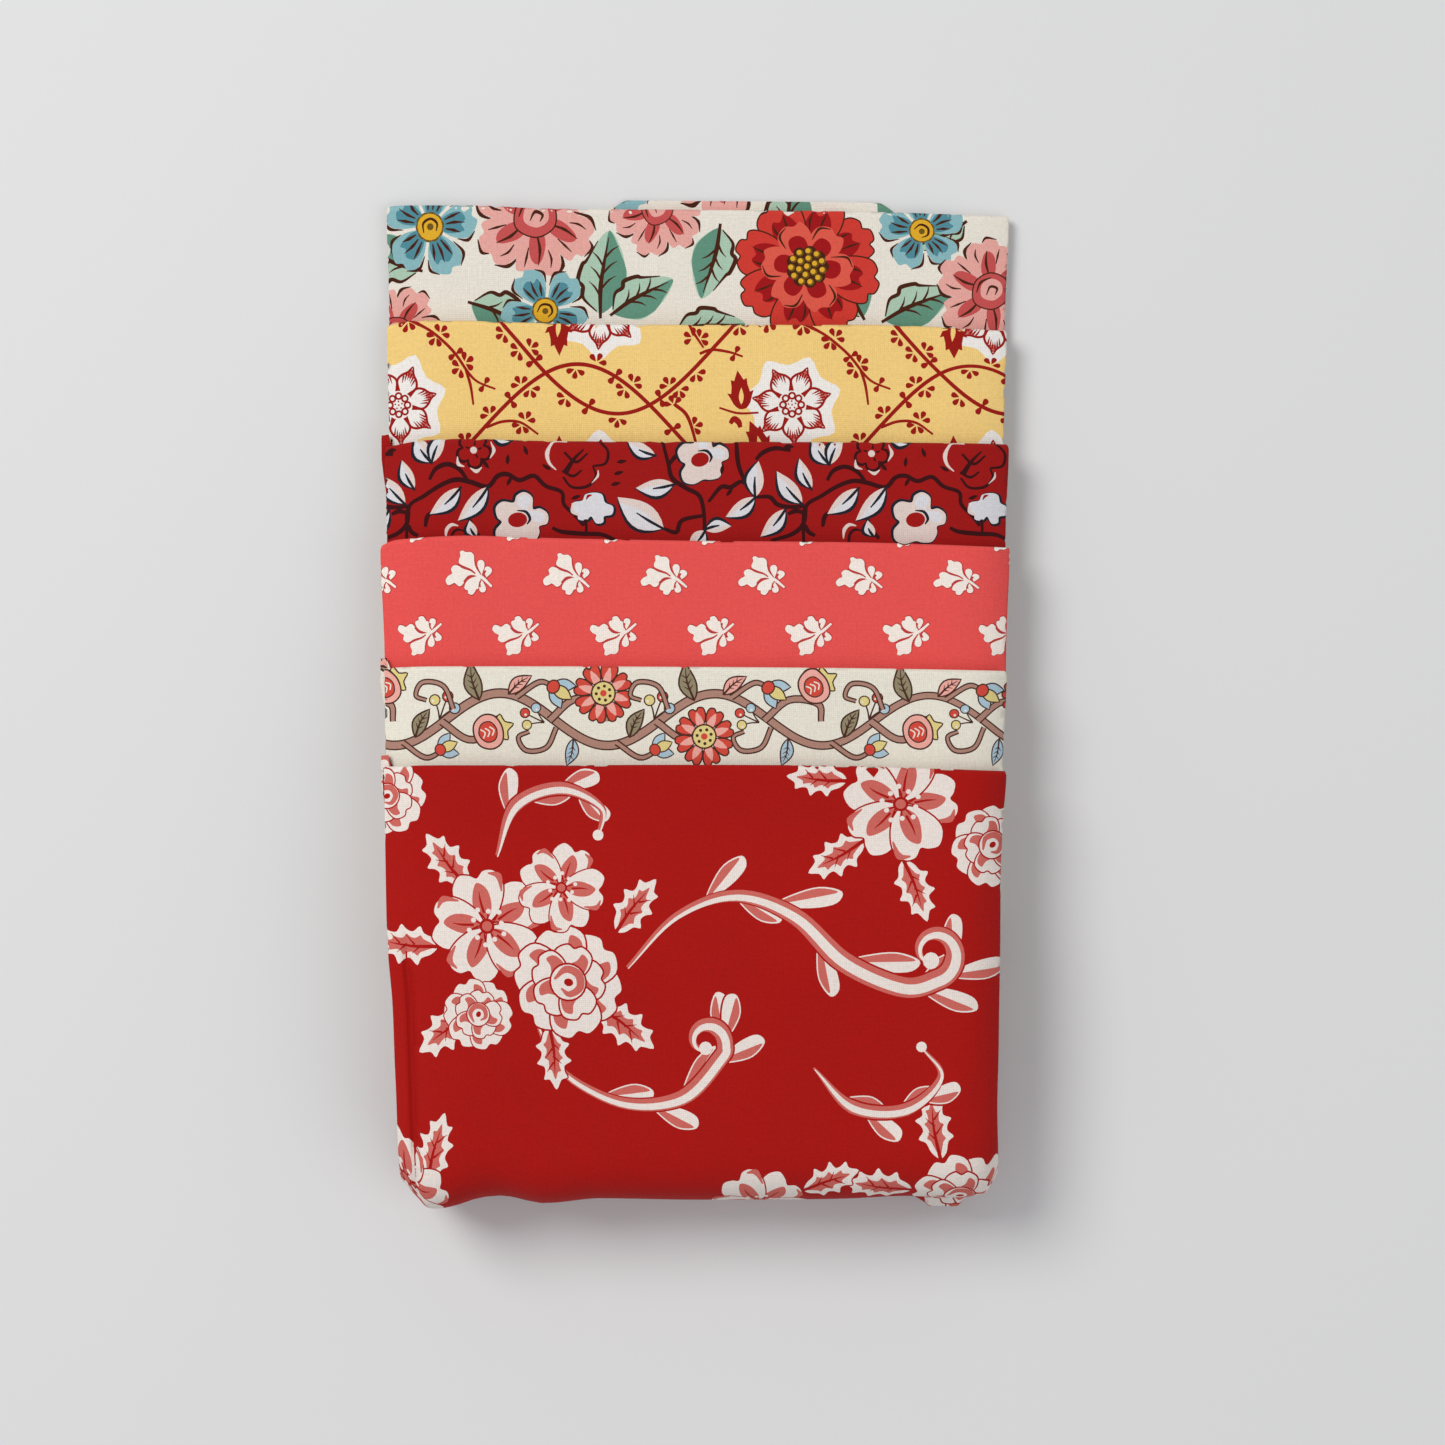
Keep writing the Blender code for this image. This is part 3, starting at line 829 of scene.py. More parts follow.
def dark_print():
    shapes = []
    for dx in [k * DARK_PERIOD for k in (-1, 0, 1)]:
        shapes += strokes([(points, STEM_WIDTHS) for points in STEMS], STEM_DARK, dx, per=5)
        shapes += spread(((open_blossom(), -24.6, 49.4), (line_blossom(), -45.1, 50.9, 6)), dx)
        shapes += leaved(white_leaf, WHITE_LEAVES, dx)
        shapes += spread((
            (white_blossom(), -35.4, 37.7), (white_blossom(), 1.4, 50, 10, 0.95),
            (small_cloud(), -20.9, 39.9),
        ), dx)
        shapes += strokes([(HOOK, (0.2, 0.75, 0.7, 0.2))], ICE_WARM, dx)
        shapes += strokes([(HOOK + (1.1, -1), (0.6, 0.6, 0.6, 0.3))], STEM_DARK, dx)
        dash = [(lens(2.2, 0.8), STEM_DARK)]
        shapes += spread([(dash, *place) for place in DARK_DASHES], dx)
    return DEEP_RED, shapes


# The cream print: a generic arrangement of large garden flowers on ivory
IVORY = ink("e4ddd1")
CRIMSON = ink("9c1216")
POPPY = ink("cb3a30")
POPPY_LIGHT = ink("d95848")
BLUSH = ink("e2a49b")
ROSE = ink("c2504f")
UMBER = ink("46200f")
SAGE = ink("a8c4ae")
MOSS = ink("5f8f7a")
AQUA = ink("86b3b8")
AQUA_DEEP = ink("4e8794")
GOLD = ink("dca92c")
GOLD_DARK = ink("6f5219")


def big_bloom():
    """A full round flower of three rings of lobed petals with a seeded middle."""
    shapes = []
    petal = through([(3, 0), (8, 4.4), (13.2, 5.2), (15.4, 3.4), (15.2, 1.6), (16.6, 0.4), (16.2, -1.8),
                     (14.8, -2.4), (14.8, -4.4), (12, -5), (8, -4)], per=5)
    shade = through([(2.5, 0), (7, 2.8), (10.6, 3), (12.6, 1.8), (12, 0.3), (13, -1.4),
                     (10.4, -2.8), (7, -2.6)], per=5)
    lines = (([(8, 1.6), (10.4, 2.2), (12.4, 2)], (0.2, 0.6, 0.1)),
             ([(8.6, -0.4), (11, -0.7), (13.4, -1.2)], (0.2, 0.55, 0.1)))
    one = [(grown(petal, 0.34), UMBER), (petal, POPPY), (shade, CRIMSON)] + strokes(lines, UMBER)
    shapes += around(one, 8, phase=10)
    inner = through([(1, 0), (4.6, 3.4), (8.4, 3.9), (10.4, 1.6), (9.8, -0.6), (10.2, -2.4),
                     (7.6, -3.6), (4.4, -3)], per=5)
    inner_shade = through([(1, 0), (4.2, 2), (7, 1.8), (7.6, -0.2), (6.4, -1.8), (4, -1.8)], per=5)
    curl = stroke([(5, 2.9), (8.6, 3.3), (10.2, 1.2)], (0.15, 0.6, 0.15))
    shapes += around([(inner, POPPY_LIGHT), (inner_shade, CRIMSON), (curl, UMBER)], 6, phase=32)
    shapes += [(scalloped(9, 4.9, 0.8), UMBER)]
    seed = [(disc(0, 0, 0.86, steps=10), GOLD_DARK), (disc(-0.12, 0.16, 0.6, steps=8), GOLD)]
    for ring, count in ((3.6, 11), (1.9, 6), (0, 1)):
        for k in range(count):
            a = 2 * math.pi * k / count
            shapes += put(seed, ring * math.cos(a), ring * math.sin(a))
    return shapes


def blush_bloom():
    """A pink many-petalled flower with dark brush lines."""
    petal = through([(1, 0), (5.4, 3.8), (9.6, 4.9), (11.8, 3.4), (11.6, 1.4), (12.8, 0.2), (12.2, -2.2),
                     (10.8, -2.6), (10, -4.4), (5, -3.2)], per=5)
    blaze = through([(1, 0.2), (4.6, 1.9), (8.2, 1.2), (9.4, 0), (8, -1.3), (4.6, -1.4)], per=4)
    marks = (
        ([(6.4, 4.7), (9.8, 5.3), (12.1, 3.6)], (0.2, 0.85, 0.2)),
        ([(11.9, 1.2), (13.1, 0.1), (12.5, -2.2)], (0.2, 0.7, 0.2)),
        ([(3.6, 0.2), (6.4, 0.7), (9.6, 0.3)], (0.3, 0.65, 0.15)),
        ([(6, -1.6), (8, -2.1), (9.8, -2.6)], (0.2, 0.5, 0.15)),
        ([(6.6, 2.4), (8.4, 3), (10.2, 2.8)], (0.2, 0.5, 0.15)),
    )
    shapes = around([(petal, BLUSH), (blaze, ROSE)] + strokes(marks, UMBER), 6, phase=24)
    curl = through([(-4.2, -1.6), (-3.2, 2.6), (0.6, 3.9), (3.9, 1.6), (3.5, -2.3), (-0.4, -3.9)], per=5)
    shapes += [(grown(curl, 0.3), UMBER), (curl, ROSE), (curl * 0.62 + (0.2, 0.3), BLUSH)]
    return shapes + strokes((([(-1.2, -0.6), (0, 1), (1.5, 0.3), (0.8, -1)], (0.2, 0.6, 0.6, 0.2)),
                             ([(-3.4, 0.4), (-2, 2.4), (0.6, 3)], (0.2, 0.6, 0.2))), UMBER)


def blue_bloom():
    """A blue flower of five ragged petals with a gold middle."""
    petal = through([(1.4, 0), (4, 2.6), (7.2, 3.8), (9.2, 2.6), (9, 1), (10, -0.2), (9, -2.2),
                     (7.6, -3.2), (4.4, -2.6)], per=5)
    wash = through([(1.4, 0), (3.8, 1.8), (6.4, 2.2), (7.6, 0.6), (6.6, -0.6), (7, -1.8), (3.6, -1.8)],
                   per=4)
    marks = (
        ([(4.6, 3.2), (7.4, 4.2), (9.5, 2.6)], (0.15, 0.75, 0.15)),
        ([(9.2, -2.2), (7.6, -3.6), (5.4, -3.1)], (0.15, 0.7, 0.15)),
        ([(3.2, 0.9), (5, 1.5), (6.8, 2)], (0.25, 0.65, 0.1)),
        ([(3.4, 0), (5.2, 0.1), (7.4, -0.2)], (0.25, 0.65, 0.1)),
        ([(3.2, -0.9), (4.8, -1.4), (6.2, -2)], (0.25, 0.65, 0.1)),
    )
    shapes = around([(petal, AQUA), (wash, AQUA_DEEP)] + strokes(marks, UMBER), 5, phase=54)
    shapes += [(scalloped(10, 3, 0.3), GOLD_DARK), (disc(0, 0, 2.6), GOLD)]
    ring = [(-1.7, -0.6), (-1, 1.1), (0.8, 1.3), (1.6, -0.1), (0.8, -1.4)]
    shapes += strokes([(ring, (0.2, 0.55, 0.55, 0.2))], UMBER)
    return shapes + [(disc(0.05, -0.1, 0.7, steps=10), GOLD_DARK)]


def garden_leaf(length, width):
    """A two-toned leaf with a brush-drawn midrib, side veins and one dark ragged edge."""
    size = (length, width)
    body = through([(0, 0), (0.16, 0.4), (0.3, 0.44), (0.36, 0.56), (0.56, 0.5), (0.62, 0.42), (0.8, 0.3),
                    (1, 0), (0.8, -0.3), (0.6, -0.44), (0.5, -0.5), (0.26, -0.46)], per=4, size=size)
    half = through([(0, 0), (0.3, 0.04), (0.65, 0.05), (1, 0), (0.75, -0.3), (0.52, -0.48), (0.25, -0.42)],
                   per=5, size=size)
    rim = stroke([(0.02, 0.1), (0.16, 0.43), (0.3, 0.47), (0.37, 0.6), (0.56, 0.54), (0.62, 0.45),
                  (0.86, 0.24)], (0.25, 0.8, 0.9, 0.8, 0.2), size=size)
    vein = stroke([(-0.06, 0), (0.3, 0.07), (0.6, 0.05), (0.92, 0)], (0.6, 0.95, 0.7, 0.15), size=size)
    shapes = [(body, SAGE), (half, MOSS), (rim, UMBER), (vein, UMBER)]
    for t, side in ((0.2, 1), (0.38, 1), (0.56, 1), (0.3, -1), (0.48, -1), (0.66, -1)):
        root = (length * t, width * 0.05)
        tip = (length * (t + 0.17), width * 0.05 + side * width * 0.3)
        middle = ((root[0] + tip[0]) / 2 + 0.4, (root[1] + tip[1]) / 2)
        shapes.append((stroke([root, middle, tip], (0.5, 0.4, 0.1), per=3), UMBER))
    return shapes


CREAM_LEAVES = (
    (-57, 89, 158, 15, 8.4), (-46, 82, -24, 15, 8.4), (-19.6, 80, 84, 17, 9),
    (-17, 80, 30, 14, 7.8), (4.6, 97.6, -104, 15, 8), (38.6, 78.6, 24, 15, 8.2),
    (34, 79.4, 112, 13, 7.4), (54.6, 99.6, -150, 12, 6.2), (-4, 76.4, 6, 14, 7),
)


def cream_print():
    blush, blue = blush_bloom(), blue_bloom()
    return IVORY, leaved(garden_leaf, CREAM_LEAVES) + spread((
        (blush, -33, 99.4, 8), (blue, -54.6, 97, 26, 0.98), (blush, -62, 76, 30, 0.8),
        (blue, -31, 80.6, -8, 0.92), (blush, -8, 101.5, 50, 0.78), (big_bloom(), 22.6, 89.6, 20, 0.9),
        (blue, 46, 97.6, -30, 0.9), (blush, 60.6, 84.6, 12, 0.92),
    ))


# The folk print: winding outlined stems with drops, half suns and cups on ivory
FOLK_IVORY = ink("e4dfd0")
FOLK_LINE = ink("4a2b22")
TAUPE = ink("ab8273")
OLIVE_GREY = ink("8f8569")
FOLK_CORAL = ink("cf4a3c")
FOLK_PINK = ink("e8a79b")
FOLK_YELLOW = ink("dccb84")
FOLK_BLUE = ink("a9c3cf")
FOLK_PERIOD = 43.0
FOLK_START = -50.0
FOLK_WAVE = (-3, 5.2)
FOLK_X = np.arange(-70.2, 69.95, 3)
# Where the large motifs, a fruit or a wheel, stand in the lower and in the upper bend
LOWER_X = (5.6, 8.6)
UPPER_X = (28, 31.4)
# The side stems of one repeat and their widths
SIDE_STEMS = (
    ([(-1, -3.4), (4.4, -7), (9.4, -5.4), (9.6, -2.2)], 1.15),
    ([(20.6, -3.2), (25.6, 1), (31.4, 0.2), (32, -3.4)], 1.15),
    ([(14, 1.4), (18.6, 4.4), (21.6, 3.4)], 0.8),
    ([(34, -7.6), (38.6, -10.6), (42, -9.4)], 0.8),
    ([(22, -4.6), (20, -8.6), (16, -9.2), (14.4, -6.6), (16.6, -5.4)], 0.7),
    ([(1.4, -1), (-0.6, 3.6), (-4.8, 4.4), (-6.2, 1.8), (-4, 0.8)], 0.7),
)


def mirrored(start, side, end):
    """A closed line's points: start, one side, end and the same side below the X axis."""
    return [start] + side + [end] + [(x, -y) for x, y in reversed(side)]


def folk_wheel():
    """A round flower of eight split petals with a dotted middle."""
    petal = through(mirrored((2.2, 0), [(4.2, 1.7), (6.4, 1.9), (7, 0.8)], (6.4, 0)), per=4)
    one = outlined(petal, FOLK_LINE, FOLK_CORAL, 0.35)
    one += strokes([([(3, 0), (4.6, 0), (6, 0)], (1.9, 1.5, 0.3))], FOLK_PINK, per=4)
    shapes = around(one, 8)
    shapes += outlined(disc(0, 0, 2.8, steps=20), FOLK_LINE, FOLK_YELLOW, 0.35)
    shapes += around([(disc(1.7, 0, 0.4, steps=8), FOLK_LINE)], 7)
    shapes += [(disc(0, 0, 0.8, steps=10), FOLK_CORAL)]
    return shapes


def folk_fruit():
    """A round fruit with a row of chevrons and a three-pointed crown."""
    crown = through([(5.6, -1.6), (7.4, -3.2), (8, -1.2), (9.8, 0), (8, 1.2), (7.4, 3.2), (5.6, 1.6)],
                    per=3)
    shapes = outlined(crown, FOLK_LINE, FOLK_YELLOW, 0.35)
    body = through(mirrored((0, 0), [(0.8, 2.8), (3.4, 4.2), (6, 3.2)], (7, 0)), per=4)
    shapes += outlined(body, FOLK_LINE, FOLK_PINK, 0.4)
    heart = through(mirrored((1.2, 0), [(2.4, 2.2), (4.6, 2.2)], (5.6, 0)), per=4)
    shapes += outlined(heart, FOLK_LINE, FOLK_CORAL, 0.3)
    chevrons = [[(x - 0.5, -1.1), (x + 0.3, 0), (x - 0.5, 1.1)] for x in (2.4, 3.5, 4.6)]
    return shapes + strokes([(points, (0.3, 0.35, 0.3)) for points in chevrons], FOLK_IVORY, per=3)


def folk_tulip():
    """A small tulip of three petals on a round cup."""
    shapes = []
    for angle, colour in ((30, FOLK_BLUE), (-30, FOLK_BLUE), (0, FOLK_YELLOW)):
        shapes += outlined(turned(lens(7.4, 3.4, fullest=0.55, steps=12), angle), FOLK_LINE, colour, 0.4)
    return shapes + outlined(disc(1.3, 0, 1.7, 1.9, steps=16), FOLK_LINE, FOLK_CORAL, 0.4)


def folk_leaf(length, colour):
    """A narrow leaf with a rib and three pairs of veins."""
    outer = lens(length, length * 0.46, 0.5)
    shapes = outlined(outer, FOLK_LINE, colour, 0.35)
    rib = stroke([(0, 0), (length * 0.5, 0.5), (length * 0.86, 0.2)], (0.5, 0.35, 0.15), per=4)
    shapes.append((rib, FOLK_LINE))
    for t in (0.3, 0.46, 0.62):
        for side in (1, -1):
            line = [(length * t, 0.4), (length * (t + 0.12), 0.4 + side * length * 0.12)]
            shapes.append((stroke(line, (0.3, 0.12), per=3), FOLK_LINE))
    return shapes


def folk_berries():
    """Three berries on stalks, each with a spot of light."""
    shapes = []
    for angle, reach, colour in ((28, 4.4, FOLK_YELLOW), (-6, 5.4, FOLK_CORAL), (-40, 4.2, FOLK_BLUE)):
        a = math.radians(angle)
        x, y = reach * math.cos(a), reach * math.sin(a)
        shapes.append((stroke([(0, 0), (x * 0.5, y * 0.4), (x, y)], (0.4, 0.35, 0.35), per=3), FOLK_LINE))
        shapes += outlined(disc(x, y, 1.2, steps=12), FOLK_LINE, colour, 0.3)
        shapes.append((disc(x - 0.3, y + 0.35, 0.32, steps=8), FOLK_IVORY))
    return shapes


def folk_stem(points, width):
    """A stem with a dark rim that narrows towards its end."""
    line = through(points, closed=False)
    return [(ribbon(line, (width + 0.5, width + 0.5, width * 0.7 + 0.5)), FOLK_LINE),
            (ribbon(line, (width - 0.1, width - 0.1, width * 0.7 - 0.1)), TAUPE)]


def folk_print():
    """A running vine: each bend holds one large motif, with small ones on its outer side."""
    level, height = FOLK_WAVE
    wave = level + height * np.sin(2 * math.pi * (FOLK_X - FOLK_START) / FOLK_PERIOD)
    shapes = folk_stem(np.stack([FOLK_X, wave], 1), 1.5)
    large = (folk_fruit(), folk_wheel())
    for k in range(-1, 4):
        dx = FOLK_START + k * FOLK_PERIOD
        low = k % 2
        high = 1 - low
        for points, width in SIDE_STEMS:
            shapes += folk_stem(np.add(points, (dx, 0)), width)
        shapes += spread((
            (large[low], LOWER_X[low], -6.4, 18, 0.84), (large[high], UPPER_X[high], 2.2, 30, 0.84),
            (folk_tulip(), 20.6, 4, -34, 0.72), (folk_tulip(), 41, -9.4, 24, 0.62),
            (folk_leaf(7.6, OLIVE_GREY), 6.6, 0.8, 104), (folk_leaf(6.6, FOLK_PINK), 12.4, 2, 38, 0.9),
            (folk_leaf(7, FOLK_BLUE), 25.4, -6.8, -104, 0.8), (folk_leaf(6.4, OLIVE_GREY), 36.6, -6.6, 62),
            (folk_berries(), 41.6, -3, 76, 0.9), (folk_berries(), 19.6, -3.6, 160, 0.8),
        ), dx)
    return FOLK_IVORY, shapes


# The top print: a generic arrangement of white and dusty pink flowers and sprays on red
TOP_RED = ink("a6110c")
TOP_WHITE = ink("e7dcd4")
DUSTY = ink("c8655c")


def pale(body, shade, rim):
    """A white form with a pink shade and a red line round it."""
    return [(grown(body, rim), TOP_RED), (body, TOP_WHITE), (shade, DUSTY)]


def notched_petal(length, width):
    """A broad petal with a notch in its end, its pink shade and the red line round it."""
    size = (length, width)
    body = through([(0, 0), (0.35, 0.42), (0.74, 0.52), (0.97, 0.24), (0.9, 0.02), (0.99, -0.2),
                    (0.78, -0.5), (0.35, -0.42)], per=4, size=size)
    shade = through([(0, 0), (0.3, -0.36), (0.66, -0.44), (0.82, -0.24), (0.62, -0.12), (0.4, 0.12)],
                    per=4, size=size)
    return pale(body, shade, 0.32)


def rose():
    """A flower of two rings of notched petals with a rolled middle."""
    shapes = around(notched_petal(9.8, 8.8), 6, phase=10)
    shapes += around(notched_petal(6.6, 6.4), 5, phase=34)
    heart = disc(0, 0, 3.1, steps=22)
    shapes += [(grown(heart, 0.35), TOP_RED), (heart, TOP_WHITE)]
    roll = stroke([(-2.4, -0.8), (-1.4, 1.8), (1, 2.1), (2.3, 0.2), (1.2, -1.8), (-0.6, -1.6)],
                  (0.4, 1.3, 1.5, 1.4, 1.1, 0.3), per=5)
    shapes += [(roll, DUSTY), (disc(0.1, 0, 0.85, 0.7, 20, steps=12), TOP_RED)]
    return shapes


def open_flower():
    """A wide flower of five heart-shaped petals with a spray of stamens."""
    petal = through([(0, 0), (3, 3.4), (7.4, 5.2), (10.4, 3.6), (10.2, 1.4), (9.4, 0), (10.6, -1.6),
                     (10, -3.8), (7, -4.8), (3, -3.2)], per=4)
    shade = through([(1, 0), (3.4, 1.8), (6.4, 1.5), (8.6, 0.2), (6.8, -1.6), (3.4, -1.7)], per=4)
    rim = stroke([(6, -4.3), (9, -4.3), (10, -2.4)], (0.3, 1.3, 0.3))
    line = stroke([(2.6, 0), (5, 0.2), (6.8, 0.1)], (0.5, 0.4, 0.1), per=4)
    one = pale(petal, shade, 0.32) + [(rim, DUSTY), (line, TOP_RED)]
    shapes = around(one, 5, phase=18)
    for k in range(10):
        a = 2 * math.pi * k / 10
        reach = 3.6 if k % 2 else 2.9
        tip = (reach * math.cos(a), reach * math.sin(a))
        shapes.append((stroke([(0, 0), tip], (0.3, 0.35), per=3), TOP_RED))
        shapes.append((disc(tip[0], tip[1], 0.5, steps=8), TOP_WHITE))
    return shapes + [(disc(0, 0, 1.5, steps=14), TOP_RED), (disc(0, 0, 1, steps=12), DUSTY)]


def spiked_leaf(length, width):
    """A lobed leaf, white at its edge, pink within and red along its vein."""
    lobes = ((0.1, 0.3), (0.24, 0.46), (0.3, 0.72), (0.4, 0.5), (0.5, 0.56), (0.58, 0.74), (0.64, 0.44),
             (0.74, 0.42), (0.84, 0.5), (0.86, 0.24))
    half = width / 2
    size = (length, half)
    upper = [(t, w * 1.3) for t, w in lobes]
    lower = [(t - 0.03, -w * 1.2) for t, w in reversed(lobes)]
    body = through([(0, 0)] + upper + [(1, 0)] + lower, per=3, size=size)
    upper = [(0.06 + t * 0.78, w * 0.7) for t, w in lobes[1:]]
    lower = [(0.03 + t * 0.76, -w * 0.62) for t, w in reversed(lobes[1:])]
    inner = through([(0.04, 0)] + upper + [(0.84, 0)] + lower, per=3, size=size)
    vein = stroke([(0, 0), (0.4, 0.08), (0.74, 0)], (0.8, 0.55, 0.1), per=4, size=size)
    shapes = pale(body, inner, 0.3) + [(vein, TOP_RED)]
    for t, side in ((0.24, 1), (0.46, 1), (0.34, -1), (0.56, -1)):
        line = [(length * t, 0), (length * (t + 0.14), side * half * 0.42)]
        shapes.append((stroke(line, (0.45, 0.1), per=3), TOP_RED))
    return shapes


def curl(points, radius, turns, hand):
    """The points with a spiral added that goes on from their end and winds inwards."""
    (x0, y0), (x1, y1) = points[-2:]
    start = math.atan2(y1 - y0, x1 - x0) - hand * math.pi / 2
    middle_x = x1 - radius * math.cos(start)
    middle_y = y1 - radius * math.sin(start)
    steps = int(10 * turns)
    wound = []
    for k in range(1, steps + 1):
        r = radius * (1 - 0.7 * k / steps)
        angle = start + hand * 2 * math.pi * turns * k / steps
        wound.append((middle_x + r * math.cos(angle), middle_y + r * math.sin(angle)))
    return points + wound


LEAFLET_SIZE = 1.3
LEAFLET_TURN = 42.0


def frond(points, leaflets, width=2.6):
    """A curving spray: a shaded stem with leaflets along it."""
    line = through(points, closed=False, per=8)
    along = np.gradient(line, axis=0)
    shapes = []
    for t, side, length in leaflets:
        k = int(t * (len(line) - 1))
        heading = math.degrees(math.atan2(along[k][1], along[k][0])) + side * LEAFLET_TURN
        size = (length, side)
        leaf = through([(0, 0), (0.3, 0.5), (0.7, 0.2), (0.98, -1.6), (0.86, -3), (0.55, -2.6), (0.2, -1.2)],
                       per=4, size=size)
        shade = through([(0, 0), (0.3, 0.3), (0.68, 0.05), (0.93, -1.5), (0.6, -1.1), (0.25, -0.5)],
                        per=4, size=size)
        shapes += put(pale(leaf, shade, 0.3), line[k][0], line[k][1], heading, LEAFLET_SIZE)
    shapes += [(ribbon(line, (0.5, width + 0.7, width + 0.7, width * 0.6, 0.6)), TOP_RED),
               (ribbon(line, (0.4, width, width, width * 0.5, 0.5)), DUSTY),
               (ribbon(line + (0.25, -0.35), (0.2, width / 2, width / 2, width / 4, 0.2)), TOP_WHITE)]
    end = line[-1]
    shapes.append((disc(end[0], end[1], width * 0.42, steps=12), TOP_WHITE))
    return shapes


# Two sprays that cross the width and two small ones, each with its leaflets and its width
SPRAYS = (
    (curl([(-14, -52), (-4, -42), (8, -38), (20, -42), (30, -51), (42, -56),
           (49, -54.6)], 5.6, 0.95, 1),
     ((0.1, 1, 9), (0.18, 1, 11), (0.27, 1, 12), (0.36, -1, 10), (0.44, -1, 10),
      (0.36, 1, 8), (0.14, -1, 8), (0.24, -1, 9), (0.48, 1, 8)), 4),
    (curl([(-34, -60), (-28, -72), (-16, -79), (-3, -78), (5, -70)], 4.6, 0.9, 1),
     ((0.14, 1, 8), (0.24, 1, 9.6), (0.34, 1, 9), (0.2, -1, 8), (0.3, -1, 8), (0.42, -1, 7)), 3.2),
    ([(-40, -30), (-36, -20), (-27, -16.6), (-19, -20.4), (-19.6, -26)],
     ((0.2, 1, 7), (0.34, -1, 7), (0.5, 1, 6), (0.62, -1, 6)), 2.6),
    ([(24, -72), (32, -80), (43, -81), (50, -74), (46, -68)],
     ((0.2, 1, 7), (0.34, -1, 7), (0.48, 1, 6.4), (0.62, -1, 6)), 2.6),
)
# The leaves of the bouquet left of the middle, and those of the blossoms that the edges cut off
BOUQUET_LEAVES = (
    (-46, -36, 128, 13, 8.4), (-52, -48, 176, 14, 8.6), (-46, -60, 218, 14, 8.6),
    (-20, -60, -36, 14, 8.6), (-16, -45, 52, 13, 8), (-30, -64, -84, 12, 7.6),
)
EDGE_LEAVES = (
    (34, -27, -150, 13, 8.2), (42, -31, -68, 13, 8), (30, -15, 176, 12, 7.4),
    (50, -90, 100, 13, 8), (44, -97, 168, 14, 8.4), (-56, -92, 72, 13, 8),
    (22, -96, 20, 12, 7.6),
)


def red_print():
    wide, full = open_flower(), rose()
    shapes = []
    for spray in SPRAYS[:-1]:
        shapes += frond(*spray)
    shapes += leaved(spiked_leaf, BOUQUET_LEAVES)
    shapes += spread((
        (wide, -42, -44, 12, 1.02), (full, -26, -55, -30, 1.12), (wide, -27, -36.4, 50, 0.8),
        (full, -44.6, -61.4, 40, 0.72),
    ))
    shapes += leaved(spiked_leaf, EDGE_LEAVES)
    shapes += spread((
        (wide, 41, -19.6, -10, 1.06), (full, 60, -28, 10, 0.86), (full, 54, -99, -20),
        (wide, 13, -101, 30, 0.9), (wide, -61, -96, 0, 0.84), (full, -62, -18, 0, 0.82),
    ))
    return TOP_RED, shapes + frond(*SPRAYS[-1])


PRINTS = (cream_print, yellow_print, dark_print, coral_print, folk_print, red_print)
# How far the print goes past the sides, below the next pack's edge and above its own
PRINT_SIDE = 1.5
PRINT_BELOW = 6.0
PRINT_ABOVE = 2.5
# The strip above the top edge where the lowest run peeks out
STRIP_SIDE = 1.0
STRIP_HALF = 2.0
INSET = 0.001
SAME_POINT = 1e-4


def inside_box(outline, box):
    """Whether an outline reaches into a box of X and Y."""
    low = outline.min(0)
    high = outline.max(0)
    return high[0] > box[0] and low[0] < box[1] and high[1] > box[2] and low[1] < box[3]


def print_box(cloth):
    """The part of the straight bundle that a pack's print covers."""
    below = cloth.next_top - PRINT_BELOW
    if cloth.next_top == NO_PACK_ABOVE:
        below = cloth.start_y - cloth.to_turn - TURN_LENGTH * cloth.turn_r
    return cloth.pack.left - PRINT_SIDE, cloth.pack.right + PRINT_SIDE, below, cloth.top + PRINT_ABOVE


def on_cut(cloth, outline, v_of):
    """An outline of the straight bundle on the flat cut, kept just inside its edges."""
    line = np.stack([cloth.shown_u(outline[:, 0]), v_of(outline[:, 1])], 1)
    return np.clip(line, INSET, (cloth.width - INSET, cloth.length - INSET))


def laid_print(cloth, shapes, box):
    """The print on the flat cut: on the top run, and on the lowest one where it peeks out."""
    drawn = [(on_cut(cloth, p, cloth.shown_v), colour) for p, colour in shapes if inside_box(p, box)]
    out, low, high, soft = cloth.pack.peek
    if out:
        strip = (low, high + STRIP_SIDE, cloth.top - STRIP_HALF, cloth.top + STRIP_HALF)
        moved = [(p + cloth.pack.under, colour) for p, colour in shapes]
        drawn += [(on_cut(cloth, p, cloth.under_v), colour) for p, colour in moved if inside_box(p, strip)]
    return drawn


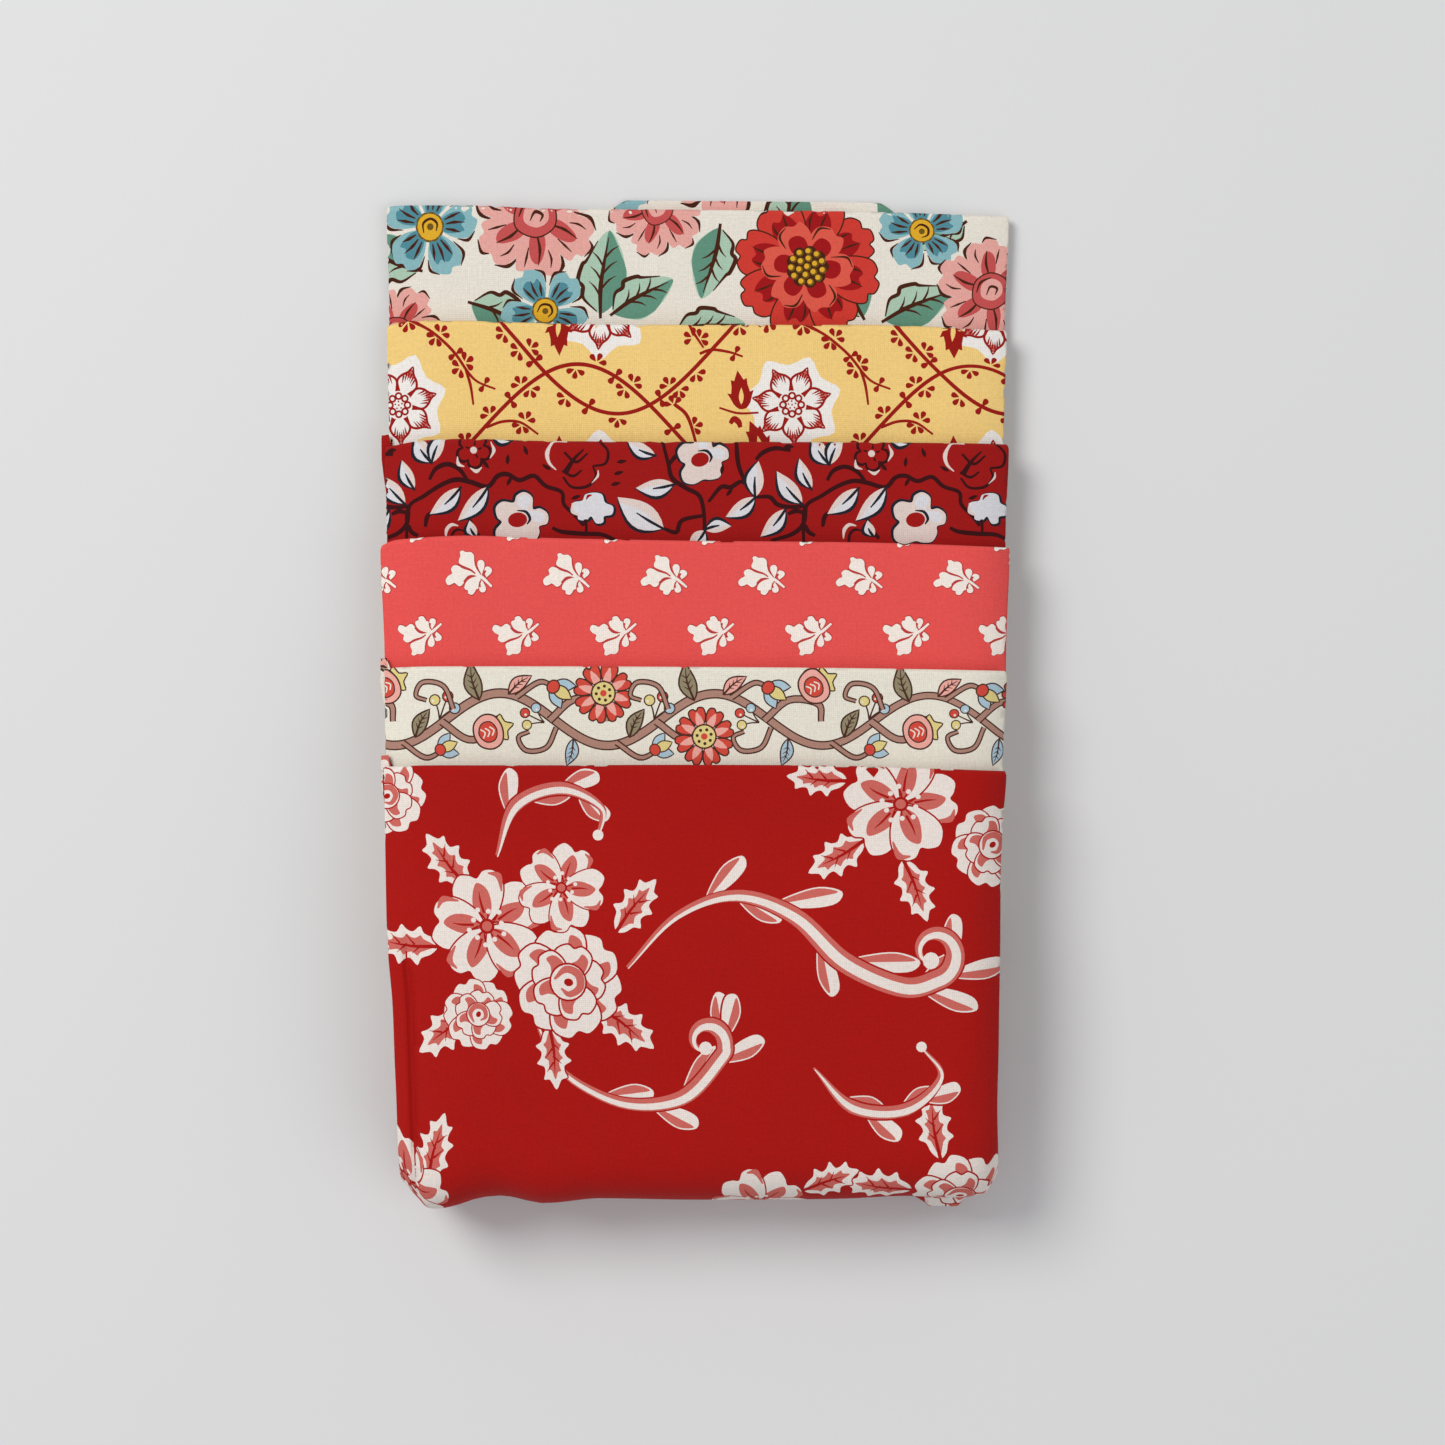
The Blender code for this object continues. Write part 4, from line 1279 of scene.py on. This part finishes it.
def printed_mesh(cloth, draw):
    """The flat cut's triangles, with its print's outlines in them, and each one's ink."""
    box = print_box(cloth)
    ground, shapes = draw()
    u_lines, v_lines = cloth.lines()
    shown_u = sorted((cloth.shown_u(box[0]), cloth.shown_u(box[1])))
    shown_v = sorted((cloth.shown_v(box[2]), cloth.shown_v(box[3])))
    u_lines = distinct(u_lines + list(np.arange(*shown_u, SHOWN_STEP_U)), LEAST_SHOWN_STEP)
    v_lines = distinct(v_lines + list(np.arange(*shown_v, SHOWN_STEP_V)), LEAST_SHOWN_STEP)
    points = [Vector((u, v)) for u in u_lines for v in v_lines]
    edges = []
    drawn = laid_print(cloth, shapes, box)
    for line, colour in drawn:
        start = len(points)
        count = len(line)
        points += [Vector(p) for p in line.tolist()]
        edges += [(start + k, start + (k + 1) % count) for k in range(count)]
    out = delaunay_2d_cdt(points, edges, [], 0, SAME_POINT)
    flat = np.array([tuple(p) for p in out[0]])
    triangles = np.array([(face[0], face[2], face[1]) for face in out[2]])
    middles = flat[triangles].mean(1)
    worn = np.tile(ground, (len(triangles), 1))
    for line, colour in drawn:
        near = np.all((middles > line.min(0)) & (middles < line.max(0)), axis=1).nonzero()[0]
        worn[near[winds_round(line, middles[near])]] = colour
    return flat, triangles, worn, shown_u, shown_v


def winds_round(line, places):
    """Which places the closed line goes round."""
    turns = np.zeros(len(places))
    after = np.roll(line, -1, 0)
    for (ax, ay), (bx, by) in zip(line, after):
        side = (bx - ax) * (places[:, 1] - ay) - (places[:, 0] - ax) * (by - ay)
        turns += (ay <= places[:, 1]) & (by > places[:, 1]) & (side > 0)
        turns -= (ay > places[:, 1]) & (by <= places[:, 1]) & (side < 0)
    return turns != 0


# How many millimetres of cloth make one unit of the weave's map, and how much of the baked
# texture the shown stretch takes
CLOTH_UNIT = 100.0
BAKE_SHARE = 0.9


def bake_place(value, shown, whole):
    """A coordinate of the texture: the shown stretch takes most of it."""
    rest = (1.0 - BAKE_SHARE) / 2
    return np.interp(value, (0.0, *shown, whole), (0.0, rest, 1.0 - rest, 1.0))


def add_map(data, name, places):
    layer = data.uv_layers.new(name=name)
    layer.uv.foreach_set("vector", places.astype(np.float32).ravel())


def make_cloth(pack, level, next_top, draw):
    """One folded cloth as a mesh with its print, its maps and its material."""
    cloth = FoldedCloth(pack, level, next_top)
    flat, triangles, worn, shown_u, shown_v = printed_mesh(cloth, draw)
    u, v = flat[:, 0], flat[:, 1]
    corner = triangles.ravel()
    data = bpy.data.meshes.new(pack.name)
    data.vertices.add(len(flat))
    data.vertices.foreach_set("co", cloth.place(u, v).astype(np.float32).ravel())
    data.loops.add(triangles.size)
    data.loops.foreach_set("vertex_index", corner.astype(np.int32))
    data.polygons.add(len(triangles))
    data.polygons.foreach_set("loop_start", np.arange(0, triangles.size, 3, dtype=np.int32))
    data.update(calc_edges=True)
    add_map(data, "cloth", flat[corner] / CLOTH_UNIT)
    bake = np.stack([bake_place(u, shown_u, cloth.width), bake_place(v, shown_v, cloth.length)], 1)
    add_map(data, "OFBake", bake[corner])
    tint = data.color_attributes.new("print", "FLOAT_COLOR", "CORNER")
    rgba = np.ones((len(corner), 4), np.float32)
    rgba[:, :3] = np.repeat(worn, 3, axis=0)
    tint.data.foreach_set("color", rgba.ravel())
    data.polygons.foreach_set("use_smooth", np.ones(len(triangles), bool))
    data.normals_split_custom_set_from_vertices(cloth.normals(u, v).tolist())
    data.validate(clean_customdata=False)
    data.materials.append(cotton(pack.name))
    obj = bpy.data.objects.new(pack.name, data)
    bpy.context.scene.collection.objects.link(obj)
    print(pack.name, "triangles", len(triangles), "flat", round(cloth.width, 1), round(cloth.length, 1))
    return obj


class Nodes:
    """Small helper that adds and links shader nodes."""

    def __init__(self, material):
        material.use_nodes = True
        self.tree = material.node_tree
        self.shader = self.tree.nodes["Principled BSDF"]

    def add(self, kind, **values):
        node = self.tree.nodes.new(kind)
        for key, value in values.items():
            setattr(node, key, value)
        return node

    def link(self, source, target):
        self.tree.links.new(source, target)

    def math(self, operation, a, b=None):
        """The result of a calculation with two inputs, each a socket or a number."""
        node = self.add("ShaderNodeMath", operation=operation)
        for index, value in enumerate((a, b)):
            if isinstance(value, (int, float)):
                node.inputs[index].default_value = value
            elif value is not None:
                self.link(value, node.inputs[index])
        return node.outputs[0]


def set_inputs(node, values):
    """Sets a node's inputs by their names."""
    for name, value in values.items():
        node.inputs[name].default_value = value


THREAD = 0.40
THREADS_PER_UNIT = CLOTH_UNIT / THREAD
THREAD_SHAPE = 0.6
# Uneven shade, each a noise's scales, its offset and its share: streaks along the threads and
# across them, speckles and clouds
UNEVEN = (
    ((260.0, 22.0, 1.0), 3.1, 0.12),
    ((22.0, 260.0, 1.0), 7.7, 0.12),
    ((170.0, 170.0, 1.0), 5.2, 0.26),
    ((7.0, 7.0, 1.0), 1.3, 0.06),
)
# How much the colour darkens in the weave's hollows between the threads: painted shade
WEAVE_HOLLOW_SHADE = 0.10
LEAST_SHADE = 0.65
COTTON = {"Specular IOR Level": 0.12, "Sheen Weight": 0.04, "Sheen Roughness": 0.5}
ROUGHNESS = (0.82, 0.12)
WEAVE_BUMP = {"Strength": 0.35, "Distance": 0.0001}


def woven_height(n, uv):
    """The height of plain weave, from the places on the cloth."""
    split = n.add("ShaderNodeSeparateXYZ")
    n.link(uv, split.inputs[0])
    warp, weft = (
        n.math("SINE", n.math("MULTIPLY", split.outputs[k], math.pi * THREADS_PER_UNIT)) for k in (0, 1)
    )
    return n.math("POWER", n.math("ABSOLUTE", n.math("MULTIPLY", warp, weft)), THREAD_SHAPE)


def soft_noise(n, uv, scale, offset):
    """A soft noise, stretched by its scales."""
    mapping = n.add("ShaderNodeMapping")
    set_inputs(mapping, {"Scale": scale, "Location": (offset, offset, 0.0)})
    n.link(uv, mapping.inputs["Vector"])
    noise = n.add("ShaderNodeTexNoise")
    set_inputs(noise, {"Scale": 1.0, "Detail": 2.0})
    n.link(mapping.outputs[0], noise.inputs["Vector"])
    return noise.outputs["Fac"]


def cotton(name):
    """Printed plain-weave cotton: woven bump, uneven threads, painted shade in the weave's hollows and a
    soft, dry sheen.
    """
    material = bpy.data.materials.new(name + "_cotton")
    n = Nodes(material)
    uv = n.add("ShaderNodeUVMap", uv_map="cloth").outputs[0]
    height = woven_height(n, uv)
    noises = [soft_noise(n, uv, scale, offset) for scale, offset, share in UNEVEN]
    parts = [n.math("MULTIPLY", noise, row[-1]) for noise, row in zip(noises, UNEVEN)]
    shade = parts[0]
    # The colour's shade: random streaks, speckles and clouds, plus painted shade in the weave's hollows
    for part in (*parts[1:], n.math("MULTIPLY", height, WEAVE_HOLLOW_SHADE), LEAST_SHADE):
        shade = n.math("ADD", shade, part)
    tinted = n.add("ShaderNodeMix", data_type="RGBA", blend_type="MULTIPLY")
    set_inputs(tinted, {"Factor": 1.0})
    n.link(n.add("ShaderNodeAttribute", attribute_name="print").outputs["Color"], tinted.inputs["A"])
    n.link(shade, tinted.inputs["B"])
    n.link(tinted.outputs["Result"], n.shader.inputs["Base Color"])
    least, uneven = ROUGHNESS
    n.link(n.math("ADD", n.math("MULTIPLY", noises[0], uneven), least), n.shader.inputs["Roughness"])
    set_inputs(n.shader, COTTON)
    bump = n.add("ShaderNodeBump")
    set_inputs(bump, WEAVE_BUMP)
    n.link(height, bump.inputs["Height"])
    n.link(bump.outputs[0], n.shader.inputs["Normal"])
    return material


FLOOR_HALF = 1.6
FLOOR_DOWN = 0.0001
FLOOR = {"Base Color": (0.71, 0.71, 0.71, 1.0), "Roughness": 0.75, "Specular IOR Level": 0.2}


def make_floor():
    """A plain pale floor."""
    data = bpy.data.meshes.new("floor")
    corners = [(x * FLOOR_HALF, y * FLOOR_HALF, 0.0) for x, y in ((-1, -1), (1, -1), (1, 1), (-1, 1))]
    data.from_pydata(corners, [], [(0, 1, 2, 3)])
    obj = bpy.data.objects.new("floor", data)
    obj.location.z = -FLOOR_DOWN
    bpy.context.scene.collection.objects.link(obj)
    material = bpy.data.materials.new("pale_floor")
    set_inputs(Nodes(material).shader, FLOOR)
    data.materials.append(material)
    return obj


# The name, place, size, power and colour of each lamp
LAMPS = (
    ("window", (-0.9, 0.7, 1.3), 0.9, 19.0, (1.0, 0.99, 0.97)),
    ("fill", (0.9, -0.6, 1.5), 1.6, 6.5, (0.97, 0.98, 1.0)),
)
SKY = {"Color": (0.96, 0.97, 1.0, 1.0), "Strength": 0.43}


def add_area_light(name, place, size, power, colour):
    """A round lamp that shines at the middle of the bundle."""
    lamp = bpy.data.lights.new(name, "AREA")
    lamp.shape = "DISK"
    lamp.size = size
    lamp.energy = power
    lamp.color = colour
    obj = bpy.data.objects.new(name, lamp)
    obj.location = place
    obj.rotation_euler = (-Vector(place)).to_track_quat("-Z", "Y").to_euler()
    bpy.context.scene.collection.objects.link(obj)


def make_lights():
    bpy.context.scene.view_settings.view_transform = "Standard"
    for lamp in LAMPS:
        add_area_light(*lamp)
    world = bpy.data.worlds.new("studio")
    world.use_nodes = True
    set_inputs(world.node_tree.nodes["Background"], SKY)
    bpy.context.scene.world = world


# The photo was taken from straight above. It is 1445 pixels wide, 4.87 of them to a millimetre.
CAMERA_PLACE = (0.00525, -0.0036, 0.75)
FRAME_WIDTH = 1445 / 4.87 * MM
SENSOR = 36.0
NEAREST = 0.01


def make_camera():
    data = bpy.data.cameras.new("camera")
    data.sensor_width = SENSOR
    data.lens = SENSOR * CAMERA_PLACE[2] / FRAME_WIDTH
    data.clip_start = NEAREST
    obj = bpy.data.objects.new("camera", data)
    obj.location = CAMERA_PLACE
    bpy.context.scene.collection.objects.link(obj)
    bpy.context.scene.camera = obj


def main():
    make_camera()
    make_lights()
    floor = make_floor()
    for level, pack in enumerate(PACKS):
        above = PACKS[level + 1:level + 2]
        next_top = above[0].top_edge[TOP_AT] if above else NO_PACK_ABOVE
        piece = make_cloth(pack, level, next_top, PRINTS[level])
        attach(piece, "root")
        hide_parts(pack.node)


main()
